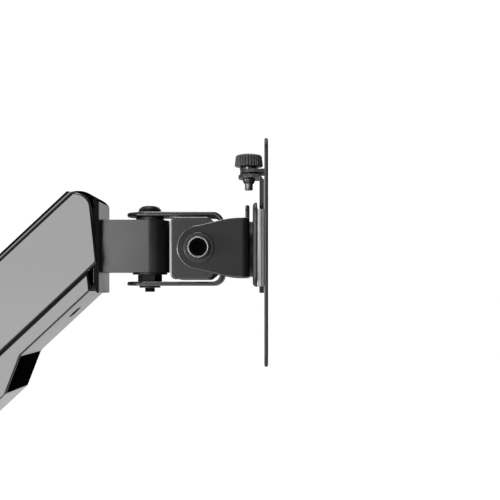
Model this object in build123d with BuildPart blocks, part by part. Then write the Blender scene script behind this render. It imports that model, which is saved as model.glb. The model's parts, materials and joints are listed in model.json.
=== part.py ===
from build123d import *
from math import cos, sin, radians, hypot
import os

os.makedirs("parts", exist_ok=True)

# Desk-clamped monitor arm with a gas-sprung upper arm. Millimetres, +Z up, +X towards the screen.
# The origin is on the desk top, under the post: the desk pad's underside is at Z = 0.

# Fits
running = 0.05           # radial clearance of a shaft that turns or slides in its hole
seated = 0.02            # radial clearance of a bush or pin that stays in its hole
clear = 0.3              # gap between neighbours that move past each other

# Desk clamp
pad_thickness = 2
plate_thickness = 8
plate_front = 52
plate_back = 40
plate_width = 84
bracket_thickness = 6
bracket_width = 56
bracket_depth = 106      # desk top to the lower leg
leg_reach = 24
clamp_screw_radius = 6
desk_thickness = 30      # the desk that the clamp is drawn on
clamp_pad_radius = 25

# Post and lower arm
post_radius = 15
post_hub_bottom = 53.5
hub_height = 43
hub_wall = 8             # hub radius beyond the post's
lower_arm_length = 240
lower_arm_half_width = 18
lower_arm_inset = 4.5    # the beam is this much shallower than the hubs, above and below
elbow_pin_radius = 8
bush_wall = 2
bush_flange = 1.5

# Upper arm
upper_arm_length = 250   # rear pivot to front pivot
arm_rise = 43            # degrees above level
pivot_ahead = 34         # rear pivot ahead of the elbow's axis
foot_thickness = 10
pivot_height = 37        # rear pivot above the knuckle's foot
link_spacing = 25        # main pivot above the parallel link's pivot
shell_half_width = 25
shell_wall = 3
shell_top = 13.9         # top face above the line through the pivots
shell_edge = 3.6
parting_gap = 0.5
upper_shell_depth = 26.9  # lower edge of the upper shell below the line through the pivots
lower_strip = 8.5
belly_depth = 10
pin_radius = 5
cheek_thickness = 4.5
cheek_half_gap = 15.5
bar_thickness = 3
bar_half_gap = 12
bar_half_height = 6

# Gas strut
cylinder_radius = 10
rod_radius = 4
strut_front_reach = 194  # front eye ahead of the rear pivot, along the arm
strut_front_drop = 3
strut_rear_back = 6
strut_rear_drop = 17
strut_pin_radius = 3

# Head
pan_ahead = 37.5         # pan axis ahead of the front pivot
tilt_drop = 18.3         # tilt axis below the front pivot
barrel_radius = 11.4
link_top = 16.4          # above the tilt axis
link_bottom = 13.5       # below the tilt axis
root_top = 25.8
root_bottom = 22.4
root_back = 26.4         # from the pan axis to the root's front face
root_plate = 2.8         # the root's wide plate closes the arm's mouth
root_plate_half = 20.6
root_edge = 2.4          # chamfer of the wide plate's upright front edges
root_plate_bottom = 25.2
hood_radius = 13.4       # rounded hood over the front pivot, as wide as the plate
hood_inner = 10.2
pan_bolt_radius = 3
sheet = 2.4
tilt_ahead = 29.9        # tilt axis ahead of the pan axis
web_reach = 43.3         # pan axis to the pan bracket's front face
ear_radius = 13
bush_height = 2
nut_space = 5.2
cheek_outer = 21.9
tilt_web_reach = 27.6    # tilt axis to the tilt bracket's front face
tilt_bolt_radius = 3
tilt_gap = 0.6
tilt_washer = 1.2
rotation_disc = 2.1
rotation_disc_radius = 16
rotation_pin_radius = 4
tray_half_width = 24
tray_height = 47.1
strip_thickness = 1.8
guide_width = 5
vesa_size = 119.6
vesa_thickness = 2
vesa_centre_drop = 3.9
vesa_hole_radius = 2.5
vesa_pitch = 100
vesa_small_pitch = 75
tab_length = 15
tab_thickness = 1.9
tab_gap = 1.1
lower_tab_height = 40.6  # above the tilt axis
knob_radius = 8.2
knob_height = 7.4
thumb_radius = 2.5

# Levels and axes that follow from them
hub_radius = post_radius + hub_wall
plate_top = pad_thickness + plate_thickness
hub_top = post_hub_bottom + hub_height
foot_bottom = hub_top + bush_flange
foot_top = foot_bottom + foot_thickness
elbow_x = lower_arm_length
rear_x = elbow_x + pivot_ahead
rear_z = foot_top + pivot_height
link_rear_z = rear_z - link_spacing
front_x = rear_x + upper_arm_length * cos(radians(arm_rise))
front_z = rear_z + upper_arm_length * sin(radians(arm_rise))
pan_x = front_x + pan_ahead
tilt_x = pan_x + tilt_ahead
tilt_z = front_z - tilt_drop
shell_inner = shell_half_width - shell_wall

# The upper arm's own plane: x runs from the rear pivot to the front pivot, y is square to it, upwards
along = (cos(radians(arm_rise)), 0, sin(radians(arm_rise)))
arm_plane = Plane(origin=(rear_x, 0, rear_z), x_dir=along, z_dir=(0, -1, 0))
arm_up = (-sin(radians(arm_rise)), 0, cos(radians(arm_rise)))


def disc_stack(plane, steps):
    # Coaxial rings, each (start, end, outer radius, inner radius) along the plane's normal
    with BuildPart() as stack:
        for start, end, outer, inner in steps:
            with BuildSketch(plane.offset(start)):
                Circle(outer)
                if inner:
                    Circle(inner, mode=Mode.SUBTRACT)
            extrude(amount=end - start)
    return stack


def hex_nut(plane, corner_radius, bore, height):
    with BuildPart() as nut:
        with BuildSketch(plane):
            RegularPolygon(corner_radius, 6)
            Circle(bore, mode=Mode.SUBTRACT)
        extrude(amount=height)
    return nut


def side_plane(y):
    # Upright plane at this y: x is +X, y is +Z, and the normal points to -Y
    return Plane(origin=(0, y, 0), x_dir=(1, 0, 0), z_dir=(0, -1, 0))


def up_plane(x, z):
    return Plane(origin=(x, 0, z), x_dir=(1, 0, 0), z_dir=(0, 0, 1))


def arm_level(height):
    # Plane square to the upper arm's side: x runs along the arm, y is +Y, at this height above its pivots
    origin = arm_plane.from_local_coords(Vector(0, height, 0))
    return Plane(origin=origin, x_dir=along, z_dir=arm_up)


def forward_plane(x):
    # Faces +X at this x: x is +Y, y is +Z
    return Plane(origin=(x, 0, 0), x_dir=(0, 1, 0), z_dir=(1, 0, 0))


# ---------------------------------------------------------------- desk clamp

with BuildPart() as desk_pad:
    with BuildSketch(Plane.XY):
        with Locations(((plate_front - plate_back) / 2, 0)):
            RectangleRounded(plate_front + plate_back - 4, plate_width - 4, 7)
    extrude(amount=pad_thickness)
desk_pad.part.label = "desk_pad"
export_step(desk_pad.part, "parts/desk_pad.step")

post_bolt_radius = 4
post_bolt_head = 8
post_bolt_head_height = 4.6
with BuildPart() as base_plate:
    with BuildSketch(Plane.XY.offset(pad_thickness)):
        with Locations(((plate_front - plate_back) / 2, 0)):
            Rectangle(plate_front + plate_back, plate_width)
    extrude(amount=plate_thickness)
    fillet(base_plate.edges().filter_by(Axis.Z).group_by(Axis.X)[-1], 14)
    chamfer(base_plate.faces().sort_by(Axis.Z)[-1].edges(), 1.2)
    with Locations(Plane.XY.offset(pad_thickness)):
        Cylinder(post_bolt_radius + clear, plate_thickness, mode=Mode.SUBTRACT,
                 align=(Align.CENTER, Align.CENTER, Align.MIN))
        Cylinder(post_bolt_head + clear, post_bolt_head_height + clear, mode=Mode.SUBTRACT,
                 align=(Align.CENTER, Align.CENTER, Align.MIN))
    with BuildSketch(forward_plane(-plate_back)):
        with Locations((0, pad_thickness + plate_thickness / 2)):
            with GridLocations(20, 1, 3, 1):
                Circle(2.5 + seated)
    extrude(amount=12, mode=Mode.SUBTRACT)
base_plate.part.label = "base_plate"
export_step(base_plate.part, "parts/base_plate.step")

leg_bottom = -bracket_depth - bracket_thickness
bracket_back = -plate_back - bracket_thickness
rib_size = 16
with BuildPart() as clamp_bracket:
    with BuildSketch(side_plane(0)):
        with BuildLine():
            Polyline(
                (-plate_back, plate_top),
                (-plate_back, -bracket_depth),
                (leg_reach, -bracket_depth),
                (leg_reach, leg_bottom),
                (bracket_back, leg_bottom),
                (bracket_back, plate_top),
                close=True,
            )
        make_face()
    extrude(amount=bracket_width / 2, both=True)
    fillet(clamp_bracket.edges().filter_by(Axis.Y).group_by(Axis.Z)[0].sort_by(Axis.X)[0], 10)
    fillet(clamp_bracket.edges().filter_by(Axis.Z).group_by(Axis.X)[-1], 12)
    with Locations(Plane.XY.offset(leg_bottom)):
        Cylinder(clamp_screw_radius + 0.5, bracket_thickness, mode=Mode.SUBTRACT,
                 align=(Align.CENTER, Align.CENTER, Align.MIN))
    with BuildSketch(forward_plane(bracket_back)):
        with Locations((0, pad_thickness + plate_thickness / 2)):
            with GridLocations(20, 1, 3, 1):
                Circle(2.5 + clear)
    extrude(amount=bracket_thickness, mode=Mode.SUBTRACT)
    for side in (-1, 1):
        with BuildSketch(side_plane(side * (bracket_width / 2 - 6))):
            with BuildLine():
                Polyline(
                    (-plate_back - 1, -bracket_depth - 1),
                    (-plate_back - 1, -bracket_depth + rib_size),
                    (-plate_back, -bracket_depth + rib_size),
                    (-plate_back + rib_size, -bracket_depth),
                    (-plate_back + rib_size, -bracket_depth - 1),
                    close=True,
                )
            make_face()
        extrude(amount=2, both=True)
clamp_bracket.part.label = "clamp_bracket"
export_step(clamp_bracket.part, "parts/clamp_bracket.step")

with BuildPart() as bracket_screws:
    with BuildSketch(forward_plane(bracket_back)):
        with Locations((0, pad_thickness + plate_thickness / 2)):
            with GridLocations(20, 1, 3, 1):
                Circle(2.5)
    extrude(amount=bracket_thickness + 11)
    with BuildSketch(forward_plane(bracket_back - 2.8)):
        with Locations((0, pad_thickness + plate_thickness / 2)):
            with GridLocations(20, 1, 3, 1):
                Circle(4.6)
    extrude(amount=2.8)
bracket_screws.part.label = "bracket_screws"
export_step(bracket_screws.part, "parts/bracket_screws.step")

clamp_nut_height = 14
clamp_nut = disc_stack(
    up_plane(0, leg_bottom - clamp_nut_height),
    [(0, clamp_nut_height, 13, clamp_screw_radius + running)],
)
clamp_nut.part.label = "clamp_nut"
export_step(clamp_nut.part, "parts/clamp_nut.step")

rubber = 2
dish = 4
socket_height = 10
clamp_pad = disc_stack(
    up_plane(0, -desk_thickness - rubber),
    [(-dish, 0, clamp_pad_radius, 0),
     (-dish - socket_height, -dish, clamp_screw_radius + 5, clamp_screw_radius + running)],
)
clamp_pad.part.label = "clamp_pad"
export_step(clamp_pad.part, "parts/clamp_pad.step")

clamp_pad_face = disc_stack(
    up_plane(0, -desk_thickness - rubber),
    [(0, rubber, clamp_pad_radius - 1, 0)],
)
clamp_pad_face.part.label = "clamp_pad_face"
export_step(clamp_pad_face.part, "parts/clamp_pad_face.step")

clamp_rise = desk_thickness - 10
screw_top = -desk_thickness - rubber - dish - clear
handle_top = leg_bottom - clamp_nut_height - clamp_rise - 2
handle_height = 20
handle_bore = 12
clamp_screw = disc_stack(
    up_plane(0, 0),
    [(handle_top - handle_bore, screw_top, clamp_screw_radius, 0)],
)
clamp_screw.part.label = "clamp_screw"
export_step(clamp_screw.part, "parts/clamp_screw.step")

handle_radius = 21
with BuildPart() as clamp_handle:
    with BuildSketch(Plane.XY.offset(handle_top - handle_height)):
        Circle(handle_radius)
        with PolarLocations(handle_radius + 6, 5):
            Circle(9, mode=Mode.SUBTRACT)
    extrude(amount=handle_height - 5)
    with BuildSketch(Plane.XY.offset(handle_top - 5)):
        Circle(11)
    extrude(amount=5)
    fillet(clamp_handle.faces().sort_by(Axis.Z)[0].edges(), 2.5)
    with Locations(Plane.XY.offset(handle_top - handle_bore)):
        Cylinder(clamp_screw_radius + seated, handle_bore, mode=Mode.SUBTRACT,
                 align=(Align.CENTER, Align.CENTER, Align.MIN))
clamp_handle.part.label = "clamp_handle"
export_step(clamp_handle.part, "parts/clamp_handle.step")

# ---------------------------------------------------------------- post

flange_height = 6
collar_height = 6
post_top = hub_top + bush_flange
bolt_depth = 24
with BuildPart() as post:
    with BuildSketch(Plane.XY.offset(plate_top)):
        Circle(30)
    extrude(amount=flange_height)
    fillet(post.faces().sort_by(Axis.Z)[-1].edges(), 3)
    with BuildSketch(Plane.XY.offset(plate_top + flange_height)):
        Circle(post_radius)
    extrude(amount=post_top - plate_top - flange_height)
    with Locations(Plane.XY.offset(plate_top)):
        Cylinder(post_bolt_radius + seated, bolt_depth, mode=Mode.SUBTRACT,
                 align=(Align.CENTER, Align.CENTER, Align.MIN))
    with Locations(Plane.XY.offset(post_top - bolt_depth)):
        Cylinder(post_bolt_radius + seated, bolt_depth, mode=Mode.SUBTRACT,
                 align=(Align.CENTER, Align.CENTER, Align.MIN))
post.part.label = "post"
export_step(post.part, "parts/post.step")

post_bolt = disc_stack(
    up_plane(0, pad_thickness),
    [(0, post_bolt_head_height, post_bolt_head, 0),
     (post_bolt_head_height, plate_thickness + bolt_depth - 2, post_bolt_radius, 0)],
)
post_bolt.part.label = "post_bolt"
export_step(post_bolt.part, "parts/post_bolt.step")

post_collar = disc_stack(
    up_plane(0, post_hub_bottom - bush_flange),
    [(-collar_height, 0, post_radius + 7, post_radius + seated)],
)
post_collar.part.label = "post_collar"
export_step(post_collar.part, "parts/post_collar.step")

post_bush_radius = post_radius + running + bush_wall
post_flange_radius = post_bush_radius + 4
post_washer = disc_stack(up_plane(0, post_top), [(0, 2, post_flange_radius - 1, post_bolt_radius + clear)])
post_washer.part.label = "post_washer"
export_step(post_washer.part, "parts/post_washer.step")

post_screw = disc_stack(
    up_plane(0, post_top),
    [(4 - bolt_depth, 2, post_bolt_radius, 0), (2, 6.4, 7, 0)],
)
post_screw.part.label = "post_screw"
export_step(post_screw.part, "parts/post_screw.step")

# ---------------------------------------------------------------- lower arm

beam_bottom = post_hub_bottom + lower_arm_inset
beam_top = hub_top - lower_arm_inset
channel_half = lower_arm_half_width - 5
channel_start = hub_radius + 9
channel_end = lower_arm_length - hub_radius - 9
elbow_bush_radius = elbow_pin_radius + running + bush_wall
with BuildPart() as lower_arm:
    with BuildSketch(Plane.XY.offset(beam_bottom)):
        with BuildLine():
            Polyline(
                (0, -lower_arm_half_width),
                (lower_arm_length, -lower_arm_half_width + 1),
                (lower_arm_length, lower_arm_half_width - 1),
                (0, lower_arm_half_width),
                close=True,
            )
        make_face()
    extrude(amount=beam_top - beam_bottom)
    fillet(lower_arm.edges().filter_by(Axis.Z, reverse=True).filter_by(Axis.Y, reverse=True), 4)
    with Locations((0, 0, post_hub_bottom), (lower_arm_length, 0, post_hub_bottom)):
        Cylinder(hub_radius, hub_height, align=(Align.CENTER, Align.CENTER, Align.MIN))
    with BuildSketch(Plane.XY.offset(beam_bottom)):
        with Locations(((channel_start + channel_end) / 2, 0)):
            RectangleRounded(channel_end - channel_start, channel_half * 2, 5)
    extrude(amount=beam_top - beam_bottom - 6, mode=Mode.SUBTRACT)
    with Locations((0, 0, post_hub_bottom)):
        Cylinder(post_bush_radius + seated, hub_height, mode=Mode.SUBTRACT,
                 align=(Align.CENTER, Align.CENTER, Align.MIN))
    with Locations((elbow_x, 0, post_hub_bottom)):
        Cylinder(elbow_bush_radius + seated, hub_height, mode=Mode.SUBTRACT,
                 align=(Align.CENTER, Align.CENTER, Align.MIN))
lower_arm.part.label = "lower_arm"
export_step(lower_arm.part, "parts/lower_arm.step")

cover_thickness = 2.4
cover_rib = 8
clip_width = 14
clip_drop = 13
clip_wall = 2.4
with BuildPart() as lower_arm_cover:
    with BuildSketch(Plane.XY.offset(beam_bottom)):
        with Locations(((channel_start + channel_end) / 2, 0)):
            RectangleRounded(channel_end - channel_start - 0.6, channel_half * 2 - 0.6, 4.7)
    extrude(amount=cover_thickness)
    with BuildSketch(Plane.XY.offset(beam_bottom + cover_thickness)):
        with Locations(((channel_start + channel_end) / 2, 0)):
            with GridLocations(1, channel_half * 2 - 4, 1, 2):
                Rectangle(channel_end - channel_start - 30, 1.6)
    extrude(amount=cover_rib)
lower_arm_cover.part.label = "lower_arm_cover"
export_step(lower_arm_cover.part, "parts/lower_arm_cover.step")

clip_centres = (lower_arm_length * 0.35, lower_arm_length * 0.65)
with BuildPart() as cable_clips:
    for clip_x in clip_centres:
        with BuildSketch(forward_plane(clip_x - clip_width / 2)):
            with Locations((0, beam_bottom - clip_drop / 2)):
                Rectangle(channel_half * 2 - 2, clip_drop)
                Rectangle(channel_half * 2 - 2 - clip_wall * 2, clip_drop - clip_wall * 2,
                          mode=Mode.SUBTRACT)
            with Locations((channel_half - 4, beam_bottom - clip_drop + 1)):
                Rectangle(3, clip_wall * 2, mode=Mode.SUBTRACT)
        extrude(amount=clip_width)
cable_clips.part.label = "cable_clips"
export_step(cable_clips.part, "parts/cable_clips.step")


def bush_pair(x, shaft_radius, flange_radius):
    # Two flanged bushes, one pushed into each end of a hub
    outer = shaft_radius + running + bush_wall
    return disc_stack(
        up_plane(x, post_hub_bottom),
        [(-bush_flange, 0, flange_radius, shaft_radius + running),
         (0, 12, outer, shaft_radius + running),
         (hub_height - 12, hub_height, outer, shaft_radius + running),
         (hub_height, hub_height + bush_flange, flange_radius, shaft_radius + running)],
    )


post_bushes = bush_pair(0, post_radius, post_flange_radius)
post_bushes.part.label = "post_bushes"
export_step(post_bushes.part, "parts/post_bushes.step")

elbow_flange_radius = elbow_bush_radius + 5
elbow_bushes = bush_pair(elbow_x, elbow_pin_radius, elbow_flange_radius)
elbow_bushes.part.label = "elbow_bushes"
export_step(elbow_bushes.part, "parts/elbow_bushes.step")

cap_height = 12
cap_wall = 1.4
with BuildPart() as hub_cap:
    with BuildSketch(up_plane(0, hub_top)):
        Circle(hub_radius)
    extrude(amount=cap_height)
    fillet(hub_cap.faces().sort_by(Axis.Z)[-1].edges(), 1.5)
    with BuildSketch(up_plane(0, hub_top)):
        Circle(hub_radius - cap_wall)
    extrude(amount=cap_height - 2, mode=Mode.SUBTRACT)
hub_cap.part.label = "hub_cap"
export_step(hub_cap.part, "parts/hub_cap.step")

elbow_nut_height = 8.5
elbow_nut_radius = 11
elbow_cap = disc_stack(
    up_plane(elbow_x, post_hub_bottom),
    [(-14, 0, elbow_flange_radius + 3, elbow_flange_radius + 1),
     (-16, -14, elbow_flange_radius + 3, 0)],
)
elbow_cap.part.label = "elbow_cap"
export_step(elbow_cap.part, "parts/elbow_cap.step")

# ---------------------------------------------------------------- elbow knuckle

elbow_washer_thickness = 1.5
elbow_thread_radius = 6
pin_seat = post_hub_bottom - bush_flange - elbow_washer_thickness
elbow_pin = disc_stack(
    up_plane(elbow_x, pin_seat),
    [(-elbow_nut_height - 1, 0, elbow_thread_radius, 0), (0, foot_top - pin_seat, elbow_pin_radius, 0)],
)
elbow_pin.part.label = "elbow_pin"
export_step(elbow_pin.part, "parts/elbow_pin.step")

with BuildPart() as elbow_nut:
    with BuildSketch(up_plane(elbow_x, pin_seat - elbow_nut_height)):
        RegularPolygon(elbow_nut_radius, 6)
        Circle(elbow_thread_radius + seated, mode=Mode.SUBTRACT)
    extrude(amount=elbow_nut_height)
    with BuildSketch(up_plane(elbow_x, pin_seat)):
        Circle(elbow_flange_radius - 1)
        Circle(elbow_pin_radius + running, mode=Mode.SUBTRACT)
    extrude(amount=elbow_washer_thickness)
elbow_nut.part.label = "elbow_nut"
export_step(elbow_nut.part, "parts/elbow_nut.step")

cheek_half = 9.3
foot_front = rear_x + 3
tension_x = rear_x - 22
tension_screw_radius = 3
tension_pilot = 5
with BuildPart() as elbow_knuckle:
    with BuildSketch(Plane.XY.offset(foot_bottom)):
        Circle(hub_radius)
        with Locations(((elbow_x + foot_front) / 2, 0)):
            Rectangle(foot_front - elbow_x, (cheek_half_gap + cheek_thickness) * 2)
        Circle(hub_radius, mode=Mode.SUBTRACT)
        with Locations((elbow_x, 0)):
            Circle(hub_radius)
    extrude(amount=foot_thickness)
    for side in (-1, 1):
        with BuildSketch(side_plane(side * (cheek_half_gap + cheek_thickness / 2))):
            with BuildLine():
                Polyline(
                    (rear_x - cheek_half - 12, foot_top),
                    (rear_x - cheek_half, foot_top + 14),
                    (rear_x - cheek_half, rear_z),
                )
                ThreePointArc(
                    (rear_x - cheek_half, rear_z),
                    (rear_x, rear_z + cheek_half),
                    (rear_x + cheek_half, rear_z),
                )
                Polyline(
                    (rear_x + cheek_half, rear_z),
                    (rear_x + cheek_half, foot_top + 2),
                    (foot_front, foot_bottom + 2),
                    (rear_x - cheek_half - 12, foot_bottom + 2),
                    (rear_x - cheek_half - 12, foot_top),
                )
            make_face()
            with Locations((rear_x, rear_z), (rear_x, link_rear_z)):
                Circle(pin_radius + seated, mode=Mode.SUBTRACT)
        extrude(amount=cheek_thickness / 2, both=True)
    with Locations((elbow_x, 0, foot_bottom)):
        Cylinder(elbow_pin_radius + seated, foot_thickness, mode=Mode.SUBTRACT,
                 align=(Align.CENTER, Align.CENTER, Align.MIN))
    with Locations((tension_x, 0, foot_top - tension_pilot)):
        Cylinder(tension_screw_radius + running, tension_pilot, mode=Mode.SUBTRACT,
                 align=(Align.CENTER, Align.CENTER, Align.MIN))
elbow_knuckle.part.label = "elbow_knuckle"
export_step(elbow_knuckle.part, "parts/elbow_knuckle.step")


def side_pins(x, z, inner, outer, radius):
    # A pair of short pins, one on each side of the centre plane
    with BuildPart() as pins:
        for side in (-1, 1):
            with BuildSketch(side_plane(side * (inner + outer) / 2)):
                with Locations((x, z)):
                    Circle(radius)
            extrude(amount=(outer - inner) / 2, both=True)
    return pins


rear_main_pins = side_pins(rear_x, rear_z, cheek_half_gap - 1, shell_half_width - 1.2, pin_radius)
rear_main_pins.part.label = "rear_main_pins"
export_step(rear_main_pins.part, "parts/rear_main_pins.step")

rear_link_pins = side_pins(
    rear_x, link_rear_z, bar_half_gap - 0.6, cheek_half_gap + cheek_thickness, pin_radius
)
rear_link_pins.part.label = "rear_link_pins"
export_step(rear_link_pins.part, "parts/rear_link_pins.step")

# Strut tensioner: a nut block on a screw carries the strut's rear eye
strut_x = rear_x - strut_rear_back
strut_z = rear_z - strut_rear_drop
tension_travel = 4
eye_play_across = 2.4
eye_play_up = 2.9
fork_inner = 6.5
eye_room = 9.4           # round space for the eye between the fork's cheeks
fork_outer = 10.5
lug_bottom = foot_top + 8
lug_top = lug_bottom + 10
fork_half = strut_pin_radius + eye_play_across + 3
with BuildPart() as tension_nut:
    with BuildSketch(Plane.XY.offset(lug_bottom)):
        with Locations((tension_x + 2, 0)):
            Rectangle(18, fork_outer * 2 - 3)
    extrude(amount=lug_top - lug_bottom)
    for side in (-1, 1):
        with BuildSketch(side_plane(side * (fork_inner + fork_outer) / 2)):
            with BuildLine():
                Polyline(
                    (tension_x + 9, lug_bottom + 1),
                    (strut_x + fork_half, lug_bottom + 3),
                    (strut_x + fork_half, strut_z + 12),
                    (strut_x - fork_half, strut_z + 12),
                    (strut_x - fork_half, lug_top),
                    (tension_x + 9, lug_top),
                    close=True,
                )
            make_face()
            with Locations((strut_x, strut_z + tension_travel / 2)):
                Rectangle(
                    (strut_pin_radius + eye_play_across) * 2,
                    (strut_pin_radius + eye_play_up) * 2 + tension_travel,
                    mode=Mode.SUBTRACT,
                )
        extrude(amount=(fork_outer - fork_inner) / 2, both=True)
    with BuildSketch(side_plane(0)):
        with Locations((strut_x, strut_z)):
            Circle(eye_room)
    extrude(amount=fork_inner - 0.2, both=True, mode=Mode.SUBTRACT)
    with Locations((tension_x, 0, lug_bottom)):
        Cylinder(tension_screw_radius + running, lug_top - lug_bottom, mode=Mode.SUBTRACT,
                 align=(Align.CENTER, Align.CENTER, Align.MIN))
tension_nut.part.label = "tension_nut"
export_step(tension_nut.part, "parts/tension_nut.step")

tension_head_bottom = lug_top + 3
tension_screw = disc_stack(
    up_plane(tension_x, foot_top),
    [(0.5 - tension_pilot, tension_head_bottom - foot_top, tension_screw_radius, 0),
     (tension_head_bottom - foot_top, tension_head_bottom - foot_top + 5, 5, 2.5)],
)
tension_screw.part.label = "tension_screw"
export_step(tension_screw.part, "parts/tension_screw.step")

# ---------------------------------------------------------------- upper arm

strip_top = -upper_shell_depth - parting_gap
strip_bottom = strip_top - lower_strip
lower_front = -17.2
lower_corner = -23.5
lower_back = 54
belly_start = 52.4
belly_run = 20.6
cover_wall = 2.5
cover_screw_radius = 2
cover_head_radius = 4
belly_bottom = strip_bottom - belly_depth
screw_join = strip_bottom + 6     # where the shells' screw posts meet
front_screw = (upper_arm_length + lower_corner - 18, 0)
rear_screws = [(lower_back + 22, shell_inner - 3.2), (lower_back + 22, 3.2 - shell_inner)]
mouth_top = 11
mouth_shoulder = 4.6
mouth_middle = 9.6
mouth_bottom = -9.9
nose_radius = 8          # the side walls' two front corners
shell_back = 16
front_u = upper_arm_length
inner_top = shell_top - 4
notch_half = root_plate_half + 0.5   # the head link's hood swings up through this notch
notch_length = mouth_top + (hood_radius ** 2 - inner_top ** 2) ** 0.5 + clear * 2
boss_radius = 8
front_boss_inner = barrel_radius + clear
rear_boss_inner = cheek_half_gap + cheek_thickness + clear
strut_front = (strut_front_reach, -strut_front_drop)
with BuildPart() as upper_shell:
    with BuildSketch(arm_plane) as profile:
        with BuildLine():
            Polyline(
                (-shell_back, shell_top),
                (front_u + 4.4, shell_top),
                (front_u + mouth_top, mouth_shoulder),
                (front_u + mouth_middle, -1),
                (front_u + mouth_bottom, -upper_shell_depth),
                (-shell_back + 6, -upper_shell_depth),
                (-shell_back, -upper_shell_depth + 10),
                close=True,
            )
        make_face()
        fillet(profile.vertices().sort_by(Axis.X)[-4], 3)
        fillet(profile.vertices().sort_by(Axis.X)[-2:], nose_radius)
    extrude(amount=shell_half_width, both=True)
    chamfer(upper_shell.faces().sort_by(Axis(arm_plane.origin, arm_up))[-1].edges()
            .filter_by(Axis(arm_plane.origin, along)), shell_edge)
    with BuildSketch(arm_plane):
        with BuildLine():
            Polyline(
                (-shell_back - 1, inner_top),
                (front_u + 20, inner_top),
                (front_u + 20, -upper_shell_depth - 1),
                (-shell_back - 1, -upper_shell_depth - 1),
                close=True,
            )
        make_face()
    extrude(amount=shell_inner, both=True, mode=Mode.SUBTRACT)
    with BuildSketch(arm_level(inner_top - 1)):
        with Locations((front_u + mouth_top, 0)):
            Rectangle(notch_length * 2, notch_half * 2)
    extrude(amount=shell_top - inner_top + 2, mode=Mode.SUBTRACT)
    for side in (-1, 1):
        for inner, place, radius in (
            (rear_boss_inner, (0, 0), boss_radius),
            (front_boss_inner, (front_u, 0), boss_radius),
            (6.3, strut_front, 6),
        ):
            middle = (inner + shell_inner + 0.5) / 2
            with BuildSketch(arm_plane.offset(side * middle)):
                with Locations(place):
                    Circle(radius)
            extrude(amount=(shell_inner + 0.5 - inner) / 2, both=True)
    with BuildSketch(arm_level(screw_join)):
        with Locations(front_screw):
            Circle(4.5)
        with Locations(rear_screws):
            Circle(3.2)
    extrude(amount=inner_top - screw_join + 1)
    with BuildSketch(arm_level(screw_join)):
        with Locations([front_screw] + rear_screws):
            Circle(cover_screw_radius + seated)
    extrude(amount=12, mode=Mode.SUBTRACT)
    with BuildSketch(arm_plane):
        with Locations((0, 0), (front_u, 0)):
            Circle(pin_radius + running)
        with Locations(strut_front):
            Circle(strut_pin_radius + seated)
    extrude(amount=shell_half_width - 1, both=True, mode=Mode.SUBTRACT)
upper_shell.part.label = "upper_shell"
export_step(upper_shell.part, "parts/upper_shell.step")

belly_end_u = front_u + lower_corner - belly_start - belly_run
tongue_thickness = 1.8
tongue_width = 16
tongue_height = 7        # into the upper shell
tongue_depth = 4         # down the lower shell's wall
tongue_places = [(u, strip_top - tongue_depth) for u in (lower_back + 50, 150, front_u + lower_corner - 12)]
with BuildPart() as lower_shell:
    with BuildSketch(arm_plane):
        with BuildLine():
            Polyline(
                (lower_back, strip_top),
                (front_u + lower_front, strip_top),
                (front_u + lower_corner, strip_bottom),
                (front_u + lower_corner - belly_start, strip_bottom),
                (belly_end_u, strip_bottom - belly_depth),
                (lower_back + 16, strip_bottom - belly_depth),
                (lower_back, strip_bottom),
                close=True,
            )
        make_face()
    extrude(amount=shell_half_width, both=True)
    with BuildSketch(arm_plane):
        with BuildLine():
            Polyline(
                (lower_back - 1, strip_top + 1),
                (front_u + 5, strip_top + 1),
                (front_u + 5, strip_bottom + cover_wall),
                (front_u + lower_corner - belly_start, strip_bottom + cover_wall),
                (belly_end_u, strip_bottom - belly_depth + cover_wall),
                (lower_back + 17, strip_bottom - belly_depth + cover_wall),
                (lower_back + 1, strip_bottom + cover_wall),
                (lower_back - 1, strip_bottom + cover_wall),
                close=True,
            )
        make_face()
    extrude(amount=shell_inner, both=True, mode=Mode.SUBTRACT)
    for side in (-1, 1):
        with BuildSketch(arm_plane.offset(side * (shell_inner - clear - tongue_thickness / 2))):
            with Locations(tongue_places):
                Rectangle(tongue_width, tongue_depth + tongue_height, align=(Align.CENTER, Align.MIN))
        extrude(amount=tongue_thickness / 2, both=True)
        with BuildSketch(arm_plane.offset(side * (shell_inner - tongue_thickness / 2))):
            with Locations(tongue_places):
                Rectangle(tongue_width, tongue_depth, align=(Align.CENTER, Align.MIN))
        extrude(amount=tongue_thickness / 2 + clear, both=True)
    with BuildSketch(arm_level(strip_bottom)):
        with Locations(front_screw):
            Circle(6)
    extrude(amount=screw_join - strip_bottom)
    with BuildSketch(arm_level(belly_bottom)):
        with Locations(rear_screws):
            Circle(3.7)
    extrude(amount=screw_join - belly_bottom)
    with BuildSketch(arm_level(belly_bottom)):
        with Locations([front_screw] + rear_screws):
            Circle(cover_screw_radius + clear)
    extrude(amount=screw_join - belly_bottom, mode=Mode.SUBTRACT)
    with BuildSketch(arm_level(belly_bottom)):
        with Locations(front_screw):
            Circle(cover_head_radius + clear)
        with Locations(rear_screws):
            Circle(3.3)
    extrude(amount=screw_join - belly_bottom - 2.6, mode=Mode.SUBTRACT)
lower_shell.part.label = "lower_shell"
export_step(lower_shell.part, "parts/lower_shell.step")

with BuildPart() as shell_screws:
    with BuildSketch(arm_level(screw_join - 2.6)):
        with Locations([front_screw] + rear_screws):
            Circle(cover_screw_radius)
    extrude(amount=2.6 + 11)
    with BuildSketch(arm_level(screw_join - 2.6 - 2)):
        with Locations(front_screw):
            Circle(cover_head_radius)
            RegularPolygon(1.7, 6, mode=Mode.SUBTRACT)
        with Locations(rear_screws):
            Circle(3)
    extrude(amount=2)
shell_screws.part.label = "shell_screws"
export_step(shell_screws.part, "parts/shell_screws.step")

front_main_pin = side_pins(front_x, front_z, 0, shell_half_width - 1.2, pin_radius)
front_main_pin.part.label = "front_main_pin"
export_step(front_main_pin.part, "parts/front_main_pin.step")

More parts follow.
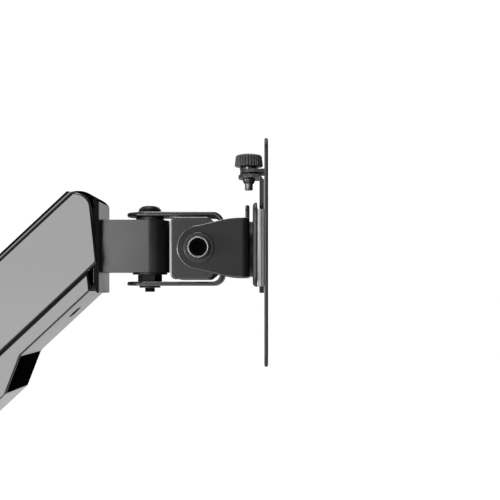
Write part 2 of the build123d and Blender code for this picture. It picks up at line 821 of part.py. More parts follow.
strut_front_point = arm_plane.from_local_coords(Vector(strut_front[0], strut_front[1], 0))
strut_front_pin = side_pins(strut_front_point.X, strut_front_point.Z, 0, shell_inner + 1, strut_pin_radius)
strut_front_pin.part.label = "strut_front_pin"
export_step(strut_front_pin.part, "parts/strut_front_pin.step")

# ---------------------------------------------------------------- parallel link

link_front_z = front_z - link_spacing
link_tie = upper_arm_length - 15
link_plane = Plane(origin=(rear_x, 0, link_rear_z), x_dir=along, z_dir=(0, -1, 0))
with BuildPart() as link_bars:
    for side in (-1, 1):
        with BuildSketch(link_plane.offset(side * (bar_half_gap + bar_thickness / 2))):
            with Locations((upper_arm_length / 2, 0)):
                Rectangle(upper_arm_length, bar_half_height * 2)
            with Locations((0, 0), (upper_arm_length, 0)):
                Circle(pin_radius + 3)
            with Locations((0, 0), (upper_arm_length, 0)):
                Circle(pin_radius + running, mode=Mode.SUBTRACT)
        extrude(amount=bar_thickness / 2, both=True)
    with BuildSketch(link_plane):
        with Locations((link_tie, 0)):
            Circle(2.5)
    extrude(amount=bar_half_gap + 1, both=True)
link_bars.part.label = "link_bars"
export_step(link_bars.part, "parts/link_bars.step")

# ---------------------------------------------------------------- gas strut

strut_length = hypot(strut_front_point.X - strut_x, strut_front_point.Z - strut_z)
strut_back = (strut_x - strut_front_point.X, 0, strut_z - strut_front_point.Z)
strut_plane = Plane(origin=strut_front_point, x_dir=(0, 1, 0), z_dir=strut_back)
cylinder_start = 8
cylinder_end = 106
cylinder_bore = cylinder_radius - 2
gland_length = 6
with BuildPart() as gas_cylinder:
    with BuildSketch(strut_plane.offset(cylinder_start)):
        Circle(cylinder_radius)
    extrude(amount=cylinder_end - cylinder_start)
    with BuildSketch(strut_plane.offset(cylinder_start + 4)):
        Circle(cylinder_bore)
    extrude(amount=cylinder_end - cylinder_start - 4, mode=Mode.SUBTRACT)
    with BuildSketch(side_plane(0)):
        with Locations((strut_front_point.X, strut_front_point.Z)):
            Circle(7)
    extrude(amount=6, both=True)
    with BuildSketch(strut_plane):
        Rectangle(12, 8)
    extrude(amount=cylinder_start + 1)
    with BuildSketch(side_plane(0)):
        with Locations((strut_front_point.X, strut_front_point.Z)):
            Circle(strut_pin_radius + running)
    extrude(amount=6, both=True, mode=Mode.SUBTRACT)
gas_cylinder.part.label = "gas_cylinder"
export_step(gas_cylinder.part, "parts/gas_cylinder.step")

cylinder_gland = disc_stack(
    strut_plane.offset(cylinder_end - gland_length),
    [(0, gland_length, cylinder_bore - seated, rod_radius + running),
     (gland_length, gland_length + 1.5, cylinder_radius, rod_radius + running)],
)
cylinder_gland.part.label = "cylinder_gland"
export_step(cylinder_gland.part, "parts/cylinder_gland.step")

rod_inner = 44
piston = 8
with BuildPart() as gas_rod:
    with BuildSketch(strut_plane.offset(rod_inner)):
        Circle(cylinder_bore - running)
    extrude(amount=piston)
    with BuildSketch(strut_plane.offset(rod_inner + piston)):
        Circle(rod_radius)
    extrude(amount=strut_length - rod_inner - piston - 3)
    with BuildSketch(side_plane(0)):
        with Locations((strut_x, strut_z)):
            Circle(6)
    extrude(amount=5.5, both=True)
    with BuildSketch(side_plane(0)):
        with Locations((strut_x, strut_z)):
            Circle(strut_pin_radius + seated)
    extrude(amount=6, both=True, mode=Mode.SUBTRACT)
gas_rod.part.label = "gas_rod"
export_step(gas_rod.part, "parts/gas_rod.step")

rod_pin = side_pins(strut_x, strut_z, 0, fork_outer, strut_pin_radius)
rod_pin.part.label = "rod_pin"
export_step(rod_pin.part, "parts/rod_pin.step")

# ---------------------------------------------------------------- head link

barrel_bore = pan_bolt_radius + running + bush_wall
root_front = pan_x - root_back
with BuildPart() as head_link:
    with BuildSketch(side_plane(0)):
        with BuildLine():
            Polyline(
                (root_front, tilt_z + root_top),
                (root_front, tilt_z - root_bottom),
                (root_front - 1.5, tilt_z - root_bottom),
                (root_front - 6, tilt_z - root_bottom + 14),
                (front_x - 7, link_front_z - 2),
                (front_x - 8, front_z),
                (front_x - 3, tilt_z + root_top),
                close=True,
            )
        make_face()
        with Locations((front_x, front_z), (front_x, link_front_z)):
            Circle(pin_radius + 3)
    extrude(amount=barrel_radius, both=True)
    with BuildSketch(side_plane(0)):
        with Locations((front_x, front_z)):
            Circle(hood_radius)
            Circle(hood_inner, mode=Mode.SUBTRACT)
        with Locations((front_x - 5, front_z)):
            Rectangle(root_front - front_x + 5, hood_radius + 1,
                      align=(Align.MIN, Align.MIN), mode=Mode.INTERSECT)
        with BuildLine():
            Polyline(
                (root_front, front_z + 4),
                (root_front, tilt_z - root_plate_bottom),
                (root_front - 1, tilt_z - root_plate_bottom),
                (root_front - root_plate, tilt_z - root_plate_bottom + 6),
                (root_front - root_plate, front_z + 4),
                close=True,
            )
        make_face()
    extrude(amount=root_plate_half, both=True)
    fillet(head_link.edges().filter_by(Axis.Y).group_by(Axis.X)[-1], 0.9)
    with BuildSketch(Plane.XY.offset(tilt_z - root_plate_bottom)):
        for side in (-1, 1):
            with BuildLine():
                Polyline(
                    (root_front - root_edge, side * root_plate_half),
                    (root_front, side * (root_plate_half - root_edge)),
                    (root_front + 1, side * (root_plate_half - root_edge)),
                    (root_front + 1, side * (root_plate_half + 1)),
                    (root_front - root_edge, side * (root_plate_half + 1)),
                    close=True,
                )
            make_face()
    extrude(amount=root_plate_bottom + tilt_drop + hood_radius, mode=Mode.SUBTRACT)
    with BuildSketch(Plane.XY.offset(tilt_z - link_bottom)):
        with Locations((pan_x, 0)):
            Circle(barrel_radius)
        with Locations((pan_x - root_back / 2 - 2, 0)):
            Rectangle(root_back + 4, barrel_radius * 2)
    extrude(amount=link_top + link_bottom)
    with BuildSketch(side_plane(0)):
        with Locations((front_x, front_z)):
            Circle(pin_radius + running)
        with Locations((front_x, link_front_z)):
            Circle(pin_radius + seated)
    extrude(amount=barrel_radius, both=True, mode=Mode.SUBTRACT)
    with Locations((pan_x, 0, tilt_z - link_bottom)):
        Cylinder(barrel_bore + seated, link_top + link_bottom, mode=Mode.SUBTRACT,
                 align=(Align.CENTER, Align.CENTER, Align.MIN))
head_link.part.label = "head_link"
export_step(head_link.part, "parts/head_link.step")

front_link_pin = side_pins(front_x, link_front_z, 0, bar_half_gap + bar_thickness + 0.8, pin_radius)
front_link_pin.part.label = "front_link_pin"
export_step(front_link_pin.part, "parts/front_link_pin.step")

pan_bush = disc_stack(
    up_plane(pan_x, tilt_z + link_top),
    [(-18, 0, barrel_bore, pan_bolt_radius + running), (0, bush_height, 8, pan_bolt_radius + running)],
)
pan_bush.part.label = "pan_bush"
export_step(pan_bush.part, "parts/pan_bush.step")

# ---------------------------------------------------------------- pan bracket

ear_top_inner = tilt_z + link_top + bush_height
ear_bottom_inner = tilt_z - link_bottom - nut_space
ear_top = ear_top_inner + sheet
ear_bottom = ear_bottom_inner - sheet
bend = 6.5
cheek_top = tilt_z + 17.1
cheek_bottom = tilt_z - 17.6
cheek_back = 13.9
relief_length = 8.4      # the cheeks' corners are cut back beside the bends
relief_depth = 3.4
web_front = pan_x + web_reach
with BuildPart() as pan_bracket:
    with BuildSketch(side_plane(0)):
        with Locations(((pan_x - ear_radius + web_front) / 2, (ear_top + ear_bottom) / 2)):
            Rectangle(web_reach + ear_radius, ear_top - ear_bottom)
    extrude(amount=ear_radius, both=True)
    fillet(pan_bracket.edges().filter_by(Axis.Y).group_by(Axis.X)[-1], bend)
    fillet(pan_bracket.edges().filter_by(Axis.Z).group_by(Axis.X)[0], ear_radius - 0.1)
    with BuildSketch(side_plane(0)):
        with Locations(((pan_x - ear_radius - 1 + web_front - sheet) / 2, (ear_top + ear_bottom) / 2)):
            inside = Rectangle(web_reach + ear_radius + 1 - sheet, ear_top - ear_bottom - sheet * 2)
        fillet(inside.vertices().group_by(Axis.X)[-1], bend - sheet)
    extrude(amount=ear_radius, both=True, mode=Mode.SUBTRACT)
with BuildPart() as cheeks:
    with BuildSketch(Plane.XY.offset(cheek_bottom)):
        with Locations(((pan_x + cheek_back + web_front) / 2, 0)):
            outside = Rectangle(web_reach - cheek_back, cheek_outer * 2)
        fillet(outside.vertices().group_by(Axis.X)[-1], bend)
    extrude(amount=cheek_top - cheek_bottom)
    fillet(cheeks.edges().filter_by(Axis.Y).group_by(Axis.X)[0], 3)
    with BuildSketch(Plane.XY.offset(cheek_bottom)):
        with Locations(((pan_x + cheek_back - 1 + web_front - sheet) / 2, 0)):
            inside = Rectangle(web_reach - cheek_back + 1 - sheet, (cheek_outer - sheet) * 2)
        fillet(inside.vertices().group_by(Axis.X)[-1], bend - sheet)
    extrude(amount=cheek_top - cheek_bottom, mode=Mode.SUBTRACT)
    with BuildSketch(side_plane(0)):
        for edge, inward in ((cheek_top, -1), (cheek_bottom, 1)):
            with BuildLine():
                Polyline(
                    (web_front - relief_length, edge - inward),
                    (web_front - relief_length, edge),
                    (web_front - relief_length / 2, edge + inward * relief_depth),
                    (web_front + 1, edge + inward * relief_depth),
                    (web_front + 1, edge - inward),
                    close=True,
                )
            make_face()
    extrude(amount=cheek_outer + 1, both=True, mode=Mode.SUBTRACT)
with BuildPart() as pan_bracket_whole:
    add(pan_bracket.part)
    add(cheeks.part)
    with Locations((pan_x, 0, ear_bottom)):
        Cylinder(pan_bolt_radius + seated, ear_top - ear_bottom, mode=Mode.SUBTRACT,
                 align=(Align.CENTER, Align.CENTER, Align.MIN))
    with BuildSketch(side_plane(0)):
        with Locations((tilt_x, tilt_z)):
            Circle(tilt_bolt_radius + running)
    extrude(amount=cheek_outer + 1, both=True, mode=Mode.SUBTRACT)
pan_bracket_whole.part.label = "pan_bracket"
export_step(pan_bracket_whole.part, "parts/pan_bracket.step")

pan_bolt_head = 6.65
pan_bolt_head_height = 4.2
with BuildPart() as pan_bolt:
    with Locations((pan_x, 0, ear_bottom - 3.5)):
        Cylinder(pan_bolt_radius, ear_top - ear_bottom + 3.5, align=(Align.CENTER, Align.CENTER, Align.MIN))
    with Locations((pan_x, 0, ear_top)):
        Cylinder(pan_bolt_head, pan_bolt_head_height, align=(Align.CENTER, Align.CENTER, Align.MIN))
    fillet(pan_bolt.faces().sort_by(Axis.Z)[-1].edges(), 3)
pan_bolt.part.label = "pan_bolt"
export_step(pan_bolt.part, "parts/pan_bolt.step")

pan_washers = disc_stack(
    up_plane(pan_x, ear_bottom),
    [(-1.1, 0, 6, pan_bolt_radius + seated),
     (ear_bottom_inner + nut_space - 1.1 - ear_bottom, ear_bottom_inner + nut_space - 0.1 - ear_bottom,
      10, pan_bolt_radius + seated)],
)
pan_washers.part.label = "pan_washers"
export_step(pan_washers.part, "parts/pan_washers.step")

pan_nut = hex_nut(up_plane(pan_x, ear_bottom_inner), 7, pan_bolt_radius + seated, nut_space - 1.1)
pan_nut.part.label = "pan_nut"
export_step(pan_nut.part, "parts/pan_nut.step")

# ---------------------------------------------------------------- tilt bracket

tilt_inner = cheek_outer + tilt_gap
tilt_outer = tilt_inner + sheet
tilt_eye = 12.4
tilt_front = tilt_x + tilt_web_reach
flare_top = 16.6
flare_bottom = 16.5
tab_top = 25.1
tab_width = 9
with BuildPart() as tilt_bracket:
    with BuildSketch(side_plane(0)) as outline:
        with BuildLine():
            Polyline(
                (tilt_x, tilt_z + tilt_eye),
                (tilt_front - 10, tilt_z + flare_top),
                (tilt_front, tilt_z + flare_top),
                (tilt_front, tilt_z - flare_bottom),
                (tilt_front - 10, tilt_z - flare_bottom),
                (tilt_x, tilt_z - tilt_eye),
            )
            ThreePointArc(
                (tilt_x, tilt_z - tilt_eye),
                (tilt_x - tilt_eye, tilt_z),
                (tilt_x, tilt_z + tilt_eye),
            )
        make_face()
        fillet(outline.vertices().group_by(Axis.X)[-2], 40)
    extrude(amount=tilt_outer, both=True)
    fillet(tilt_bracket.edges().filter_by(Axis.Z).group_by(Axis.X)[-1], 4)
    with BuildSketch(Plane.XY.offset(tilt_z - flare_top - 1)):
        with Locations((tilt_front - sheet - 25, 0)):
            hollow = Rectangle(50, tilt_inner * 2)
        fillet(hollow.vertices().group_by(Axis.X)[-1], 4 - sheet)
    extrude(amount=flare_top * 2 + 2, mode=Mode.SUBTRACT)
    with BuildSketch(forward_plane(tilt_front - sheet)):
        with Locations((0, tilt_z + tab_top - 8)):
            SlotCenterToCenter(8, tab_width, rotation=90)
        with Locations((0, tilt_z)):
            Circle(rotation_pin_radius + running, mode=Mode.SUBTRACT)
    extrude(amount=sheet)
    with BuildSketch(forward_plane(tilt_front - sheet)):
        with Locations((0, tilt_z)):
            Circle(rotation_pin_radius + running)
    extrude(amount=sheet, mode=Mode.SUBTRACT)
    with BuildSketch(side_plane(0)):
        with Locations((tilt_x, tilt_z)):
            Circle(tilt_bolt_radius + seated)
    extrude(amount=tilt_outer + 1, both=True, mode=Mode.SUBTRACT)
tilt_bracket.part.label = "tilt_bracket"
export_step(tilt_bracket.part, "parts/tilt_bracket.step")

bolt_head_height = 4.6
near_face = -tilt_outer - tilt_washer
tilt_bolt = disc_stack(
    Plane(origin=(tilt_x, near_face, tilt_z), x_dir=(1, 0, 0), z_dir=(0, -1, 0)),
    [(-(tilt_outer + tilt_washer) * 2 - 6.5, 0, tilt_bolt_radius, 0), (0, bolt_head_height, 6, 2.5)],
)
tilt_bolt.part.label = "tilt_bolt"
export_step(tilt_bolt.part, "parts/tilt_bolt.step")

with BuildPart() as tilt_washers:
    for side in (-1, 1):
        with BuildSketch(side_plane(side * (tilt_outer + tilt_washer / 2))):
            with Locations((tilt_x, tilt_z)):
                Circle(8.3)
                Circle(tilt_bolt_radius + seated, mode=Mode.SUBTRACT)
        extrude(amount=tilt_washer / 2, both=True)
tilt_washers.part.label = "tilt_washers"
export_step(tilt_washers.part, "parts/tilt_washers.step")

with BuildPart() as friction_washers:
    for side in (-1, 1):
        with BuildSketch(side_plane(side * (cheek_outer + tilt_gap / 2))):
            with Locations((tilt_x, tilt_z)):
                Circle(11)
                Circle(tilt_bolt_radius + seated, mode=Mode.SUBTRACT)
        extrude(amount=tilt_gap / 2, both=True)
friction_washers.part.label = "friction_washers"
export_step(friction_washers.part, "parts/friction_washers.step")

tilt_nut = hex_nut(
    Plane(origin=(tilt_x, tilt_outer + tilt_washer, tilt_z), x_dir=(1, 0, 0), z_dir=(0, 1, 0)),
    5.8, tilt_bolt_radius + seated, 5.5,
)
tilt_nut.part.label = "tilt_nut"
export_step(tilt_nut.part, "parts/tilt_nut.step")

# ---------------------------------------------------------------- screen receiver

disc_front = tilt_front + rotation_disc
strip_back = disc_front + sheet + 1.3
strip_front = strip_back + strip_thickness
plate_back_face = strip_front + 1.0
plate_front_face = plate_back_face + vesa_thickness


def face_point(x, height):
    return Plane(origin=(x, 0, tilt_z + height), x_dir=(0, 1, 0), z_dir=(1, 0, 0))


rotation_washer = disc_stack(
    face_point(tilt_front, 0), [(0, rotation_disc, rotation_disc_radius, rotation_pin_radius + seated)]
)
rotation_washer.part.label = "rotation_washer"
export_step(rotation_washer.part, "parts/rotation_washer.step")

rivet_head = 2.1
rotation_rivet = disc_stack(
    face_point(tilt_front - sheet, 0),
    [(-rivet_head, 0, 7, 0),
     (0, sheet + rotation_disc + sheet, rotation_pin_radius, 0),
     (sheet + rotation_disc + sheet, sheet + rotation_disc + sheet + 2.4, 6.5, 0)],
)
rotation_rivet.part.label = "rotation_rivet"
export_step(rotation_rivet.part, "parts/rotation_rivet.step")

tray_centre = 1.85
with BuildPart() as receiver_tray:
    with BuildSketch(face_point(disc_front, tray_centre)):
        RectangleRounded(tray_half_width * 2, tray_height, 6)
    extrude(amount=sheet)
    fillet(receiver_tray.faces().sort_by(Axis.X)[0].edges(), 2)
    with BuildSketch(face_point(disc_front, 0)):
        Circle(rotation_pin_radius + seated)
    extrude(amount=sheet, mode=Mode.SUBTRACT)
receiver_tray.part.label = "receiver_tray"
export_step(receiver_tray.part, "parts/receiver_tray.step")

strip_bottom_edge = -25.2
strip_half = 19
neck_half = 10
groove_play = 0.25
thumb_x = plate_front_face - 11
lower_tab_top = lower_tab_height + tab_thickness
tab_end = plate_back_face - tab_length
with BuildPart() as receiver_strip:
    with BuildSketch(face_point(strip_back, 0)):
        with Locations((0, (strip_bottom_edge + 21) / 2)):
            RectangleRounded(strip_half * 2, 21 - strip_bottom_edge, 4)
        with Locations((0, (20 + lower_tab_top) / 2)):
            Rectangle(neck_half * 2, lower_tab_top - 20)
        Circle(7, mode=Mode.SUBTRACT)
    extrude(amount=strip_thickness)
    with BuildSketch(face_point(disc_front + sheet, 0)):
        Circle(11)
        Circle(7, mode=Mode.SUBTRACT)
    extrude(amount=strip_back - disc_front - sheet)
    with BuildSketch(Plane.XY.offset(tilt_z + lower_tab_height)):
        with Locations(((tab_end + strip_front) / 2, 0)):
            Rectangle(strip_front - tab_end, neck_half * 2)
    extrude(amount=tab_thickness)
    fillet(receiver_strip.edges().filter_by(Axis.Y).group_by(Axis.Z)[-1].sort_by(Axis.X)[-1], 3.4)
    with BuildSketch(up_plane(thumb_x, tilt_z + lower_tab_top)):
        Circle(5.2)
    extrude(amount=tab_gap)
    with Locations((thumb_x, 0, tilt_z + lower_tab_height)):
        Cylinder(thumb_radius + running, tab_thickness + tab_gap, mode=Mode.SUBTRACT,
                 align=(Align.CENTER, Align.CENTER, Align.MIN))
receiver_strip.part.label = "receiver_strip"
export_step(receiver_strip.part, "parts/receiver_strip.step")

thumb_nut_height = 2.7
thumb_nut = disc_stack(
    up_plane(thumb_x, tilt_z + lower_tab_height),
    [(-thumb_nut_height, 0, 3.7, thumb_radius + running)],
)
thumb_nut.part.label = "thumb_nut"
export_step(thumb_nut.part, "parts/thumb_nut.step")

# ---------------------------------------------------------------- screen plate

upper_tab_bottom = lower_tab_top + tab_gap
upper_tab_top = upper_tab_bottom + tab_thickness
plate_top_edge = vesa_size / 2 - vesa_centre_drop
with BuildPart() as vesa_plate:
    with BuildSketch(face_point(plate_back_face, -vesa_centre_drop)):
        RectangleRounded(vesa_size, vesa_size, 7)
        with GridLocations(vesa_pitch, vesa_pitch, 2, 2):
            Circle(vesa_hole_radius, mode=Mode.SUBTRACT)
        with GridLocations(vesa_small_pitch, vesa_small_pitch, 2, 2):
            Circle(vesa_hole_radius, mode=Mode.SUBTRACT)
    extrude(amount=vesa_thickness)
    with BuildSketch(face_point(plate_back_face, (upper_tab_top + 1 + plate_top_edge) / 2)):
        Rectangle(neck_half * 2 + 3, plate_top_edge - upper_tab_top - 1 + 0.02)
    extrude(amount=vesa_thickness, mode=Mode.SUBTRACT)
    with BuildSketch(Plane.XY.offset(tilt_z + upper_tab_bottom)):
        with Locations(((tab_end + 1 + plate_back_face + 0.5) / 2, 0)):
            Rectangle(plate_back_face + 0.5 - tab_end - 1, neck_half * 2)
        with Locations((thumb_x, 0)):
            Circle(thumb_radius + running, mode=Mode.SUBTRACT)
    extrude(amount=tab_thickness)
vesa_plate.part.label = "vesa_plate"
export_step(vesa_plate.part, "parts/vesa_plate.step")

guide_half = 22.6
guide_inner = guide_half - guide_width
guide_length = 43
with BuildPart() as slide_guides:
    for side in (-1, 1):
        with BuildSketch(face_point(disc_front + sheet + 0.15, 0)):
            with Locations((side * (guide_inner + guide_width / 2), 0)):
                Rectangle(guide_width, guide_length)
        extrude(amount=plate_back_face - disc_front - sheet - 0.15)
    with BuildSketch(face_point(strip_back - groove_play, 0)):
        Rectangle((strip_half + clear) * 2, guide_length)
    extrude(amount=strip_thickness + groove_play * 2, mode=Mode.SUBTRACT)
slide_guides.part.label = "slide_guides"
export_step(slide_guides.part, "parts/slide_guides.step")

# ---------------------------------------------------------------- thumb screw

collar = 2.1
collar_radius = 5.3
thumb_collar = disc_stack(
    up_plane(thumb_x, tilt_z + upper_tab_top),
    [(0, collar, collar_radius, thumb_radius + running)],
)
thumb_collar.part.label = "thumb_collar"
export_step(thumb_collar.part, "parts/thumb_collar.step")

thumb_end = -34 + lower_tab_height
knob_bottom = tilt_z + upper_tab_top + collar
thumb_screw = disc_stack(
    up_plane(thumb_x, tilt_z + lower_tab_height),
    [(-thumb_end, knob_bottom + knob_height / 2 - tilt_z - lower_tab_height, thumb_radius, 0)],
)
thumb_screw.part.label = "thumb_screw"
export_step(thumb_screw.part, "parts/thumb_screw.step")

with BuildPart() as thumb_knob:
    with BuildSketch(up_plane(thumb_x, knob_bottom)):
        Circle(knob_radius)
        with PolarLocations(knob_radius + 0.25, 24):
            Circle(0.6, mode=Mode.SUBTRACT)
        Circle(thumb_radius + seated, mode=Mode.SUBTRACT)
    extrude(amount=knob_height / 2)
    with BuildSketch(up_plane(thumb_x, knob_bottom + knob_height / 2)):
        Circle(knob_radius)
        with PolarLocations(knob_radius + 0.25, 24):
            Circle(0.6, mode=Mode.SUBTRACT)
    extrude(amount=knob_height / 2)
thumb_knob.part.label = "thumb_knob"
export_step(thumb_knob.part, "parts/thumb_knob.step")
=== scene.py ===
import bpy
import json
from math import cos, pi, radians, sin
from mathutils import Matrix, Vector


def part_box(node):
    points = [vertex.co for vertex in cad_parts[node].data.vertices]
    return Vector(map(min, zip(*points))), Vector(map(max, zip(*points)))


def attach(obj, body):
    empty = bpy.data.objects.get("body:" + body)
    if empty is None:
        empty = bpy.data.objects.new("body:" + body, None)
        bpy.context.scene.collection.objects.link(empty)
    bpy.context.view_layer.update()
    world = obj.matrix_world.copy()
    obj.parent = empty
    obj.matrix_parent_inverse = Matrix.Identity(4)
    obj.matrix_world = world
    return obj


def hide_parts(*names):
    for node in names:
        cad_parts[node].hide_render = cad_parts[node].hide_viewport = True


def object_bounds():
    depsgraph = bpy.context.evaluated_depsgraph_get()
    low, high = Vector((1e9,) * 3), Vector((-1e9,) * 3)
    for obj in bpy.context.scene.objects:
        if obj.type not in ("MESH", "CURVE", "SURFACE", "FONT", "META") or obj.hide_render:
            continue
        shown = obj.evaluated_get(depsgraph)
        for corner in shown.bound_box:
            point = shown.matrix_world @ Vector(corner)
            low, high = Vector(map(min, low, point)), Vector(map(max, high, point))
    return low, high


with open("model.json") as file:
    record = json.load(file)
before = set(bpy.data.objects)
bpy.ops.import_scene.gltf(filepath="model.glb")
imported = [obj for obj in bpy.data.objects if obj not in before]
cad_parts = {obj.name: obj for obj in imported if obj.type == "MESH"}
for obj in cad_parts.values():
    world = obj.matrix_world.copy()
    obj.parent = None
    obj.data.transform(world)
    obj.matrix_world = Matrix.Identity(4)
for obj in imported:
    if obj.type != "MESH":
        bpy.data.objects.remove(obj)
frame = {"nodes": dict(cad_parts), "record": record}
cadBox = [list(corner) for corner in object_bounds()]
bodyOf = {node: body for body, members in frame["record"]["behaviour"]["bodies"].items() for node in members}
mm = 0.001


def hold(piece):
    # Only this piece is selected and active
    bpy.ops.object.select_all(action="DESELECT")
    piece.select_set(True)
    bpy.context.view_layer.objects.active = piece


def enterEdit():
    bpy.ops.object.mode_set(mode="EDIT")


def leaveEdit():
    bpy.ops.object.mode_set(mode="OBJECT")


def dropPicks(piece, kind):
    # Edit mode will pick VERT, EDGE or FACE, and nothing is picked yet
    hold(piece)
    enterEdit()
    bpy.ops.mesh.select_mode(type=kind)
    bpy.ops.mesh.select_all(action="DESELECT")
    leaveEdit()


def pickFaces(piece, wanted):
    # Leaves the piece in edit mode, with the faces that pass the test picked
    dropPicks(piece, "FACE")
    for face in piece.data.polygons:
        face.select = wanted(face.center, face.normal)
    enterEdit()


def applyModifier(piece, kind, **settings):
    hold(piece)
    modifier = piece.modifiers.new(kind.lower(), kind)
    for key, value in settings.items():
        setattr(modifier, key, value)
    bpy.ops.object.modifier_apply(modifier=modifier.name)


smoothAngle = radians(40)


def softenEdges(piece, radius, segments=3, angle=32, clamp=True, edgeSlot=-1):
    # Rounds every edge sharper than the angle, then shades the flats flat and the rounds round
    if radius:
        applyModifier(piece, "BEVEL", width=radius, segments=segments, limit_method="ANGLE",
                      angle_limit=radians(angle), use_clamp_overlap=clamp, material=edgeSlot)
    hold(piece)
    bpy.ops.object.shade_smooth_by_angle(angle=smoothAngle)
    applyModifier(piece, "WEIGHTED_NORMAL", keep_sharp=True, weight=60)


def bevelEdges(piece, wanted, width, segments=3, sharper=20):
    # Bevels in edit mode the sharp edges whose two ends pass the test
    dropPicks(piece, "EDGE")
    mesh = piece.data
    facing = {}
    for face in mesh.polygons:
        for key in face.edge_keys:
            facing.setdefault(key, []).append(face.normal)
    for edge in mesh.edges:
        sides = facing.get(edge.key, [])
        start, end = (mesh.vertices[i].co for i in edge.vertices)
        sharp = len(sides) == 2 and sides[0].angle(sides[1], 0) > radians(sharper)
        edge.select = sharp and wanted(start, end)
    enterEdit()
    bpy.ops.mesh.bevel(offset=width, segments=segments, clamp_overlap=False)
    leaveEdit()


def cutAway(piece, cutter, operation="DIFFERENCE"):
    applyModifier(piece, "BOOLEAN", operation=operation, object=cutter, solver="EXACT")
    bpy.data.objects.remove(cutter, do_unlink=True)


def turned(name, rings, sides=64):
    # A solid of rings (height, radius) stacked up +Z: a cone first, then its top face is drawn on ring by ring
    (low, lowRadius), (high, highRadius) = rings[:2]
    bpy.ops.object.select_all(action="DESELECT")
    bpy.ops.mesh.primitive_cone_add(vertices=sides, radius1=lowRadius, radius2=highRadius,
                                    depth=high - low, location=(0, 0, (low + high) / 2))
    piece = bpy.context.object
    piece.name = name
    bpy.ops.object.transform_apply(location=True, rotation=True, scale=True)
    pickFaces(piece, lambda centre, normal: normal.z > 0.99 and centre.z > high - 1e-7)
    was, level = highRadius, high
    for height, radius in rings[2:]:
        bpy.ops.mesh.extrude_region_move(TRANSFORM_OT_translate={"value": (0, 0, height - level)})
        bpy.ops.transform.resize(value=(radius / was, radius / was, 1), center_override=(0, 0, height))
        was, level = radius, height
    leaveEdit()
    return piece


def dome(height, radius, rise, start, steps=7):
    # Rings of a round shoulder from the full radius down to a small flat
    return [(height + rise * sin(pi / 2 * i / steps), start + (radius - start) * cos(pi / 2 * i / steps))
            for i in range(steps)] + [(height + rise, start)]


threadForm = {"crestFrom": 0.42, "crestTo": 0.58, "runOut": 0.5, "lead": 1.3}    # in pitches, the lead in depths


def groovedRings(start, end, radius, pitch, depth):
    # Rings of a screw thread's outline, with a pointed lead at the far end
    rings = []
    level = start
    while level + pitch < end - pitch * threadForm["runOut"]:
        rings += [(level, radius - depth), (level + pitch * threadForm["crestFrom"], radius),
                  (level + pitch * threadForm["crestTo"], radius)]
        level += pitch
    return rings + [(level, radius - depth), (end, radius - depth * threadForm["lead"])]


def sinkFlutes(piece, count, steps, firstStep, lastStep, reach, shrink):
    # So many steps make one flute, and its vertices from the first to the last step are drawn inwards
    dropPicks(piece, "VERT")
    for vertex in piece.data.vertices:
        step = (vertex.co.xy.angle_signed(Vector((1, 0))) / (2 * pi) * count * steps) % steps
        vertex.select = vertex.co.xy.length > reach and firstStep < step <= lastStep
    enterEdit()
    bpy.ops.transform.resize(value=(shrink, shrink, 1), center_override=(0, 0, 0))
    leaveEdit()


def bore(piece, radius, low, high, sides=48):
    bpy.ops.object.select_all(action="DESELECT")
    bpy.ops.mesh.primitive_cylinder_add(vertices=sides, radius=radius, depth=high - low,
                                        location=(0, 0, (low + high) / 2))
    cutAway(piece, bpy.context.object)


def boreThrough(piece, radius, height, sides=48):
    bore(piece, radius, -1 * mm, height + 1 * mm, sides)


def hexSocket(piece, acrossFlats, low, high):
    bore(piece, acrossFlats / 3 ** 0.5, low, high, sides=6)


turns = {"+Z": (0, 0, 0), "-Y": (pi / 2, 0, 0), "+Y": (-pi / 2, 0, 0)}


def stand(piece, place, way="+Z"):
    # Takes a piece made upright at the origin to its place, and applies that to its mesh
    hold(piece)
    piece.rotation_euler = turns[way]
    piece.location = place
    bpy.ops.object.transform_apply(location=True, rotation=True, scale=True)


weld = {"reach": 2e-6, "flatWithin": radians(0.4)}


def copyOf(node, name):
    # A welded copy of a CAD node, with the flats joined up into whole faces
    piece = bpy.data.objects.new(name, frame["nodes"][node].data.copy())
    piece.data.materials.clear()
    bpy.context.scene.collection.objects.link(piece)
    hold(piece)
    bpy.ops.mesh.customdata_custom_splitnormals_clear()
    enterEdit()
    bpy.ops.mesh.select_all(action="SELECT")
    bpy.ops.mesh.remove_doubles(threshold=weld["reach"])
    bpy.ops.mesh.dissolve_limited(angle_limit=weld["flatWithin"])
    bpy.ops.mesh.normals_make_consistent(inside=False)
    leaveEdit()
    return piece


def joined(name, pieces):
    hold(pieces[0])
    for piece in pieces[1:]:
        piece.select_set(True)
    bpy.ops.object.join()
    pieces[0].name = name
    return pieces[0]


def settle(piece, material, node):
    # Finish, body, and the CAD node it stands for
    if piece.data.materials:
        piece.data.materials[0] = material
    else:
        piece.data.materials.append(material)
    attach(piece, bodyOf[node])
    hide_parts(node)


def middle(node):
    low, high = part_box(node)
    return (low + high) / 2


# Broad patches that vary a finish's colour and roughness, and the make-up of its fine grain
surface = {"patchScale": 38, "patchDetail": 4, "patchLow": 0.3, "patchHigh": 0.7, "roughnessDrift": 0.15,
           "grainDetail": 3, "grainRoughness": 0.6}


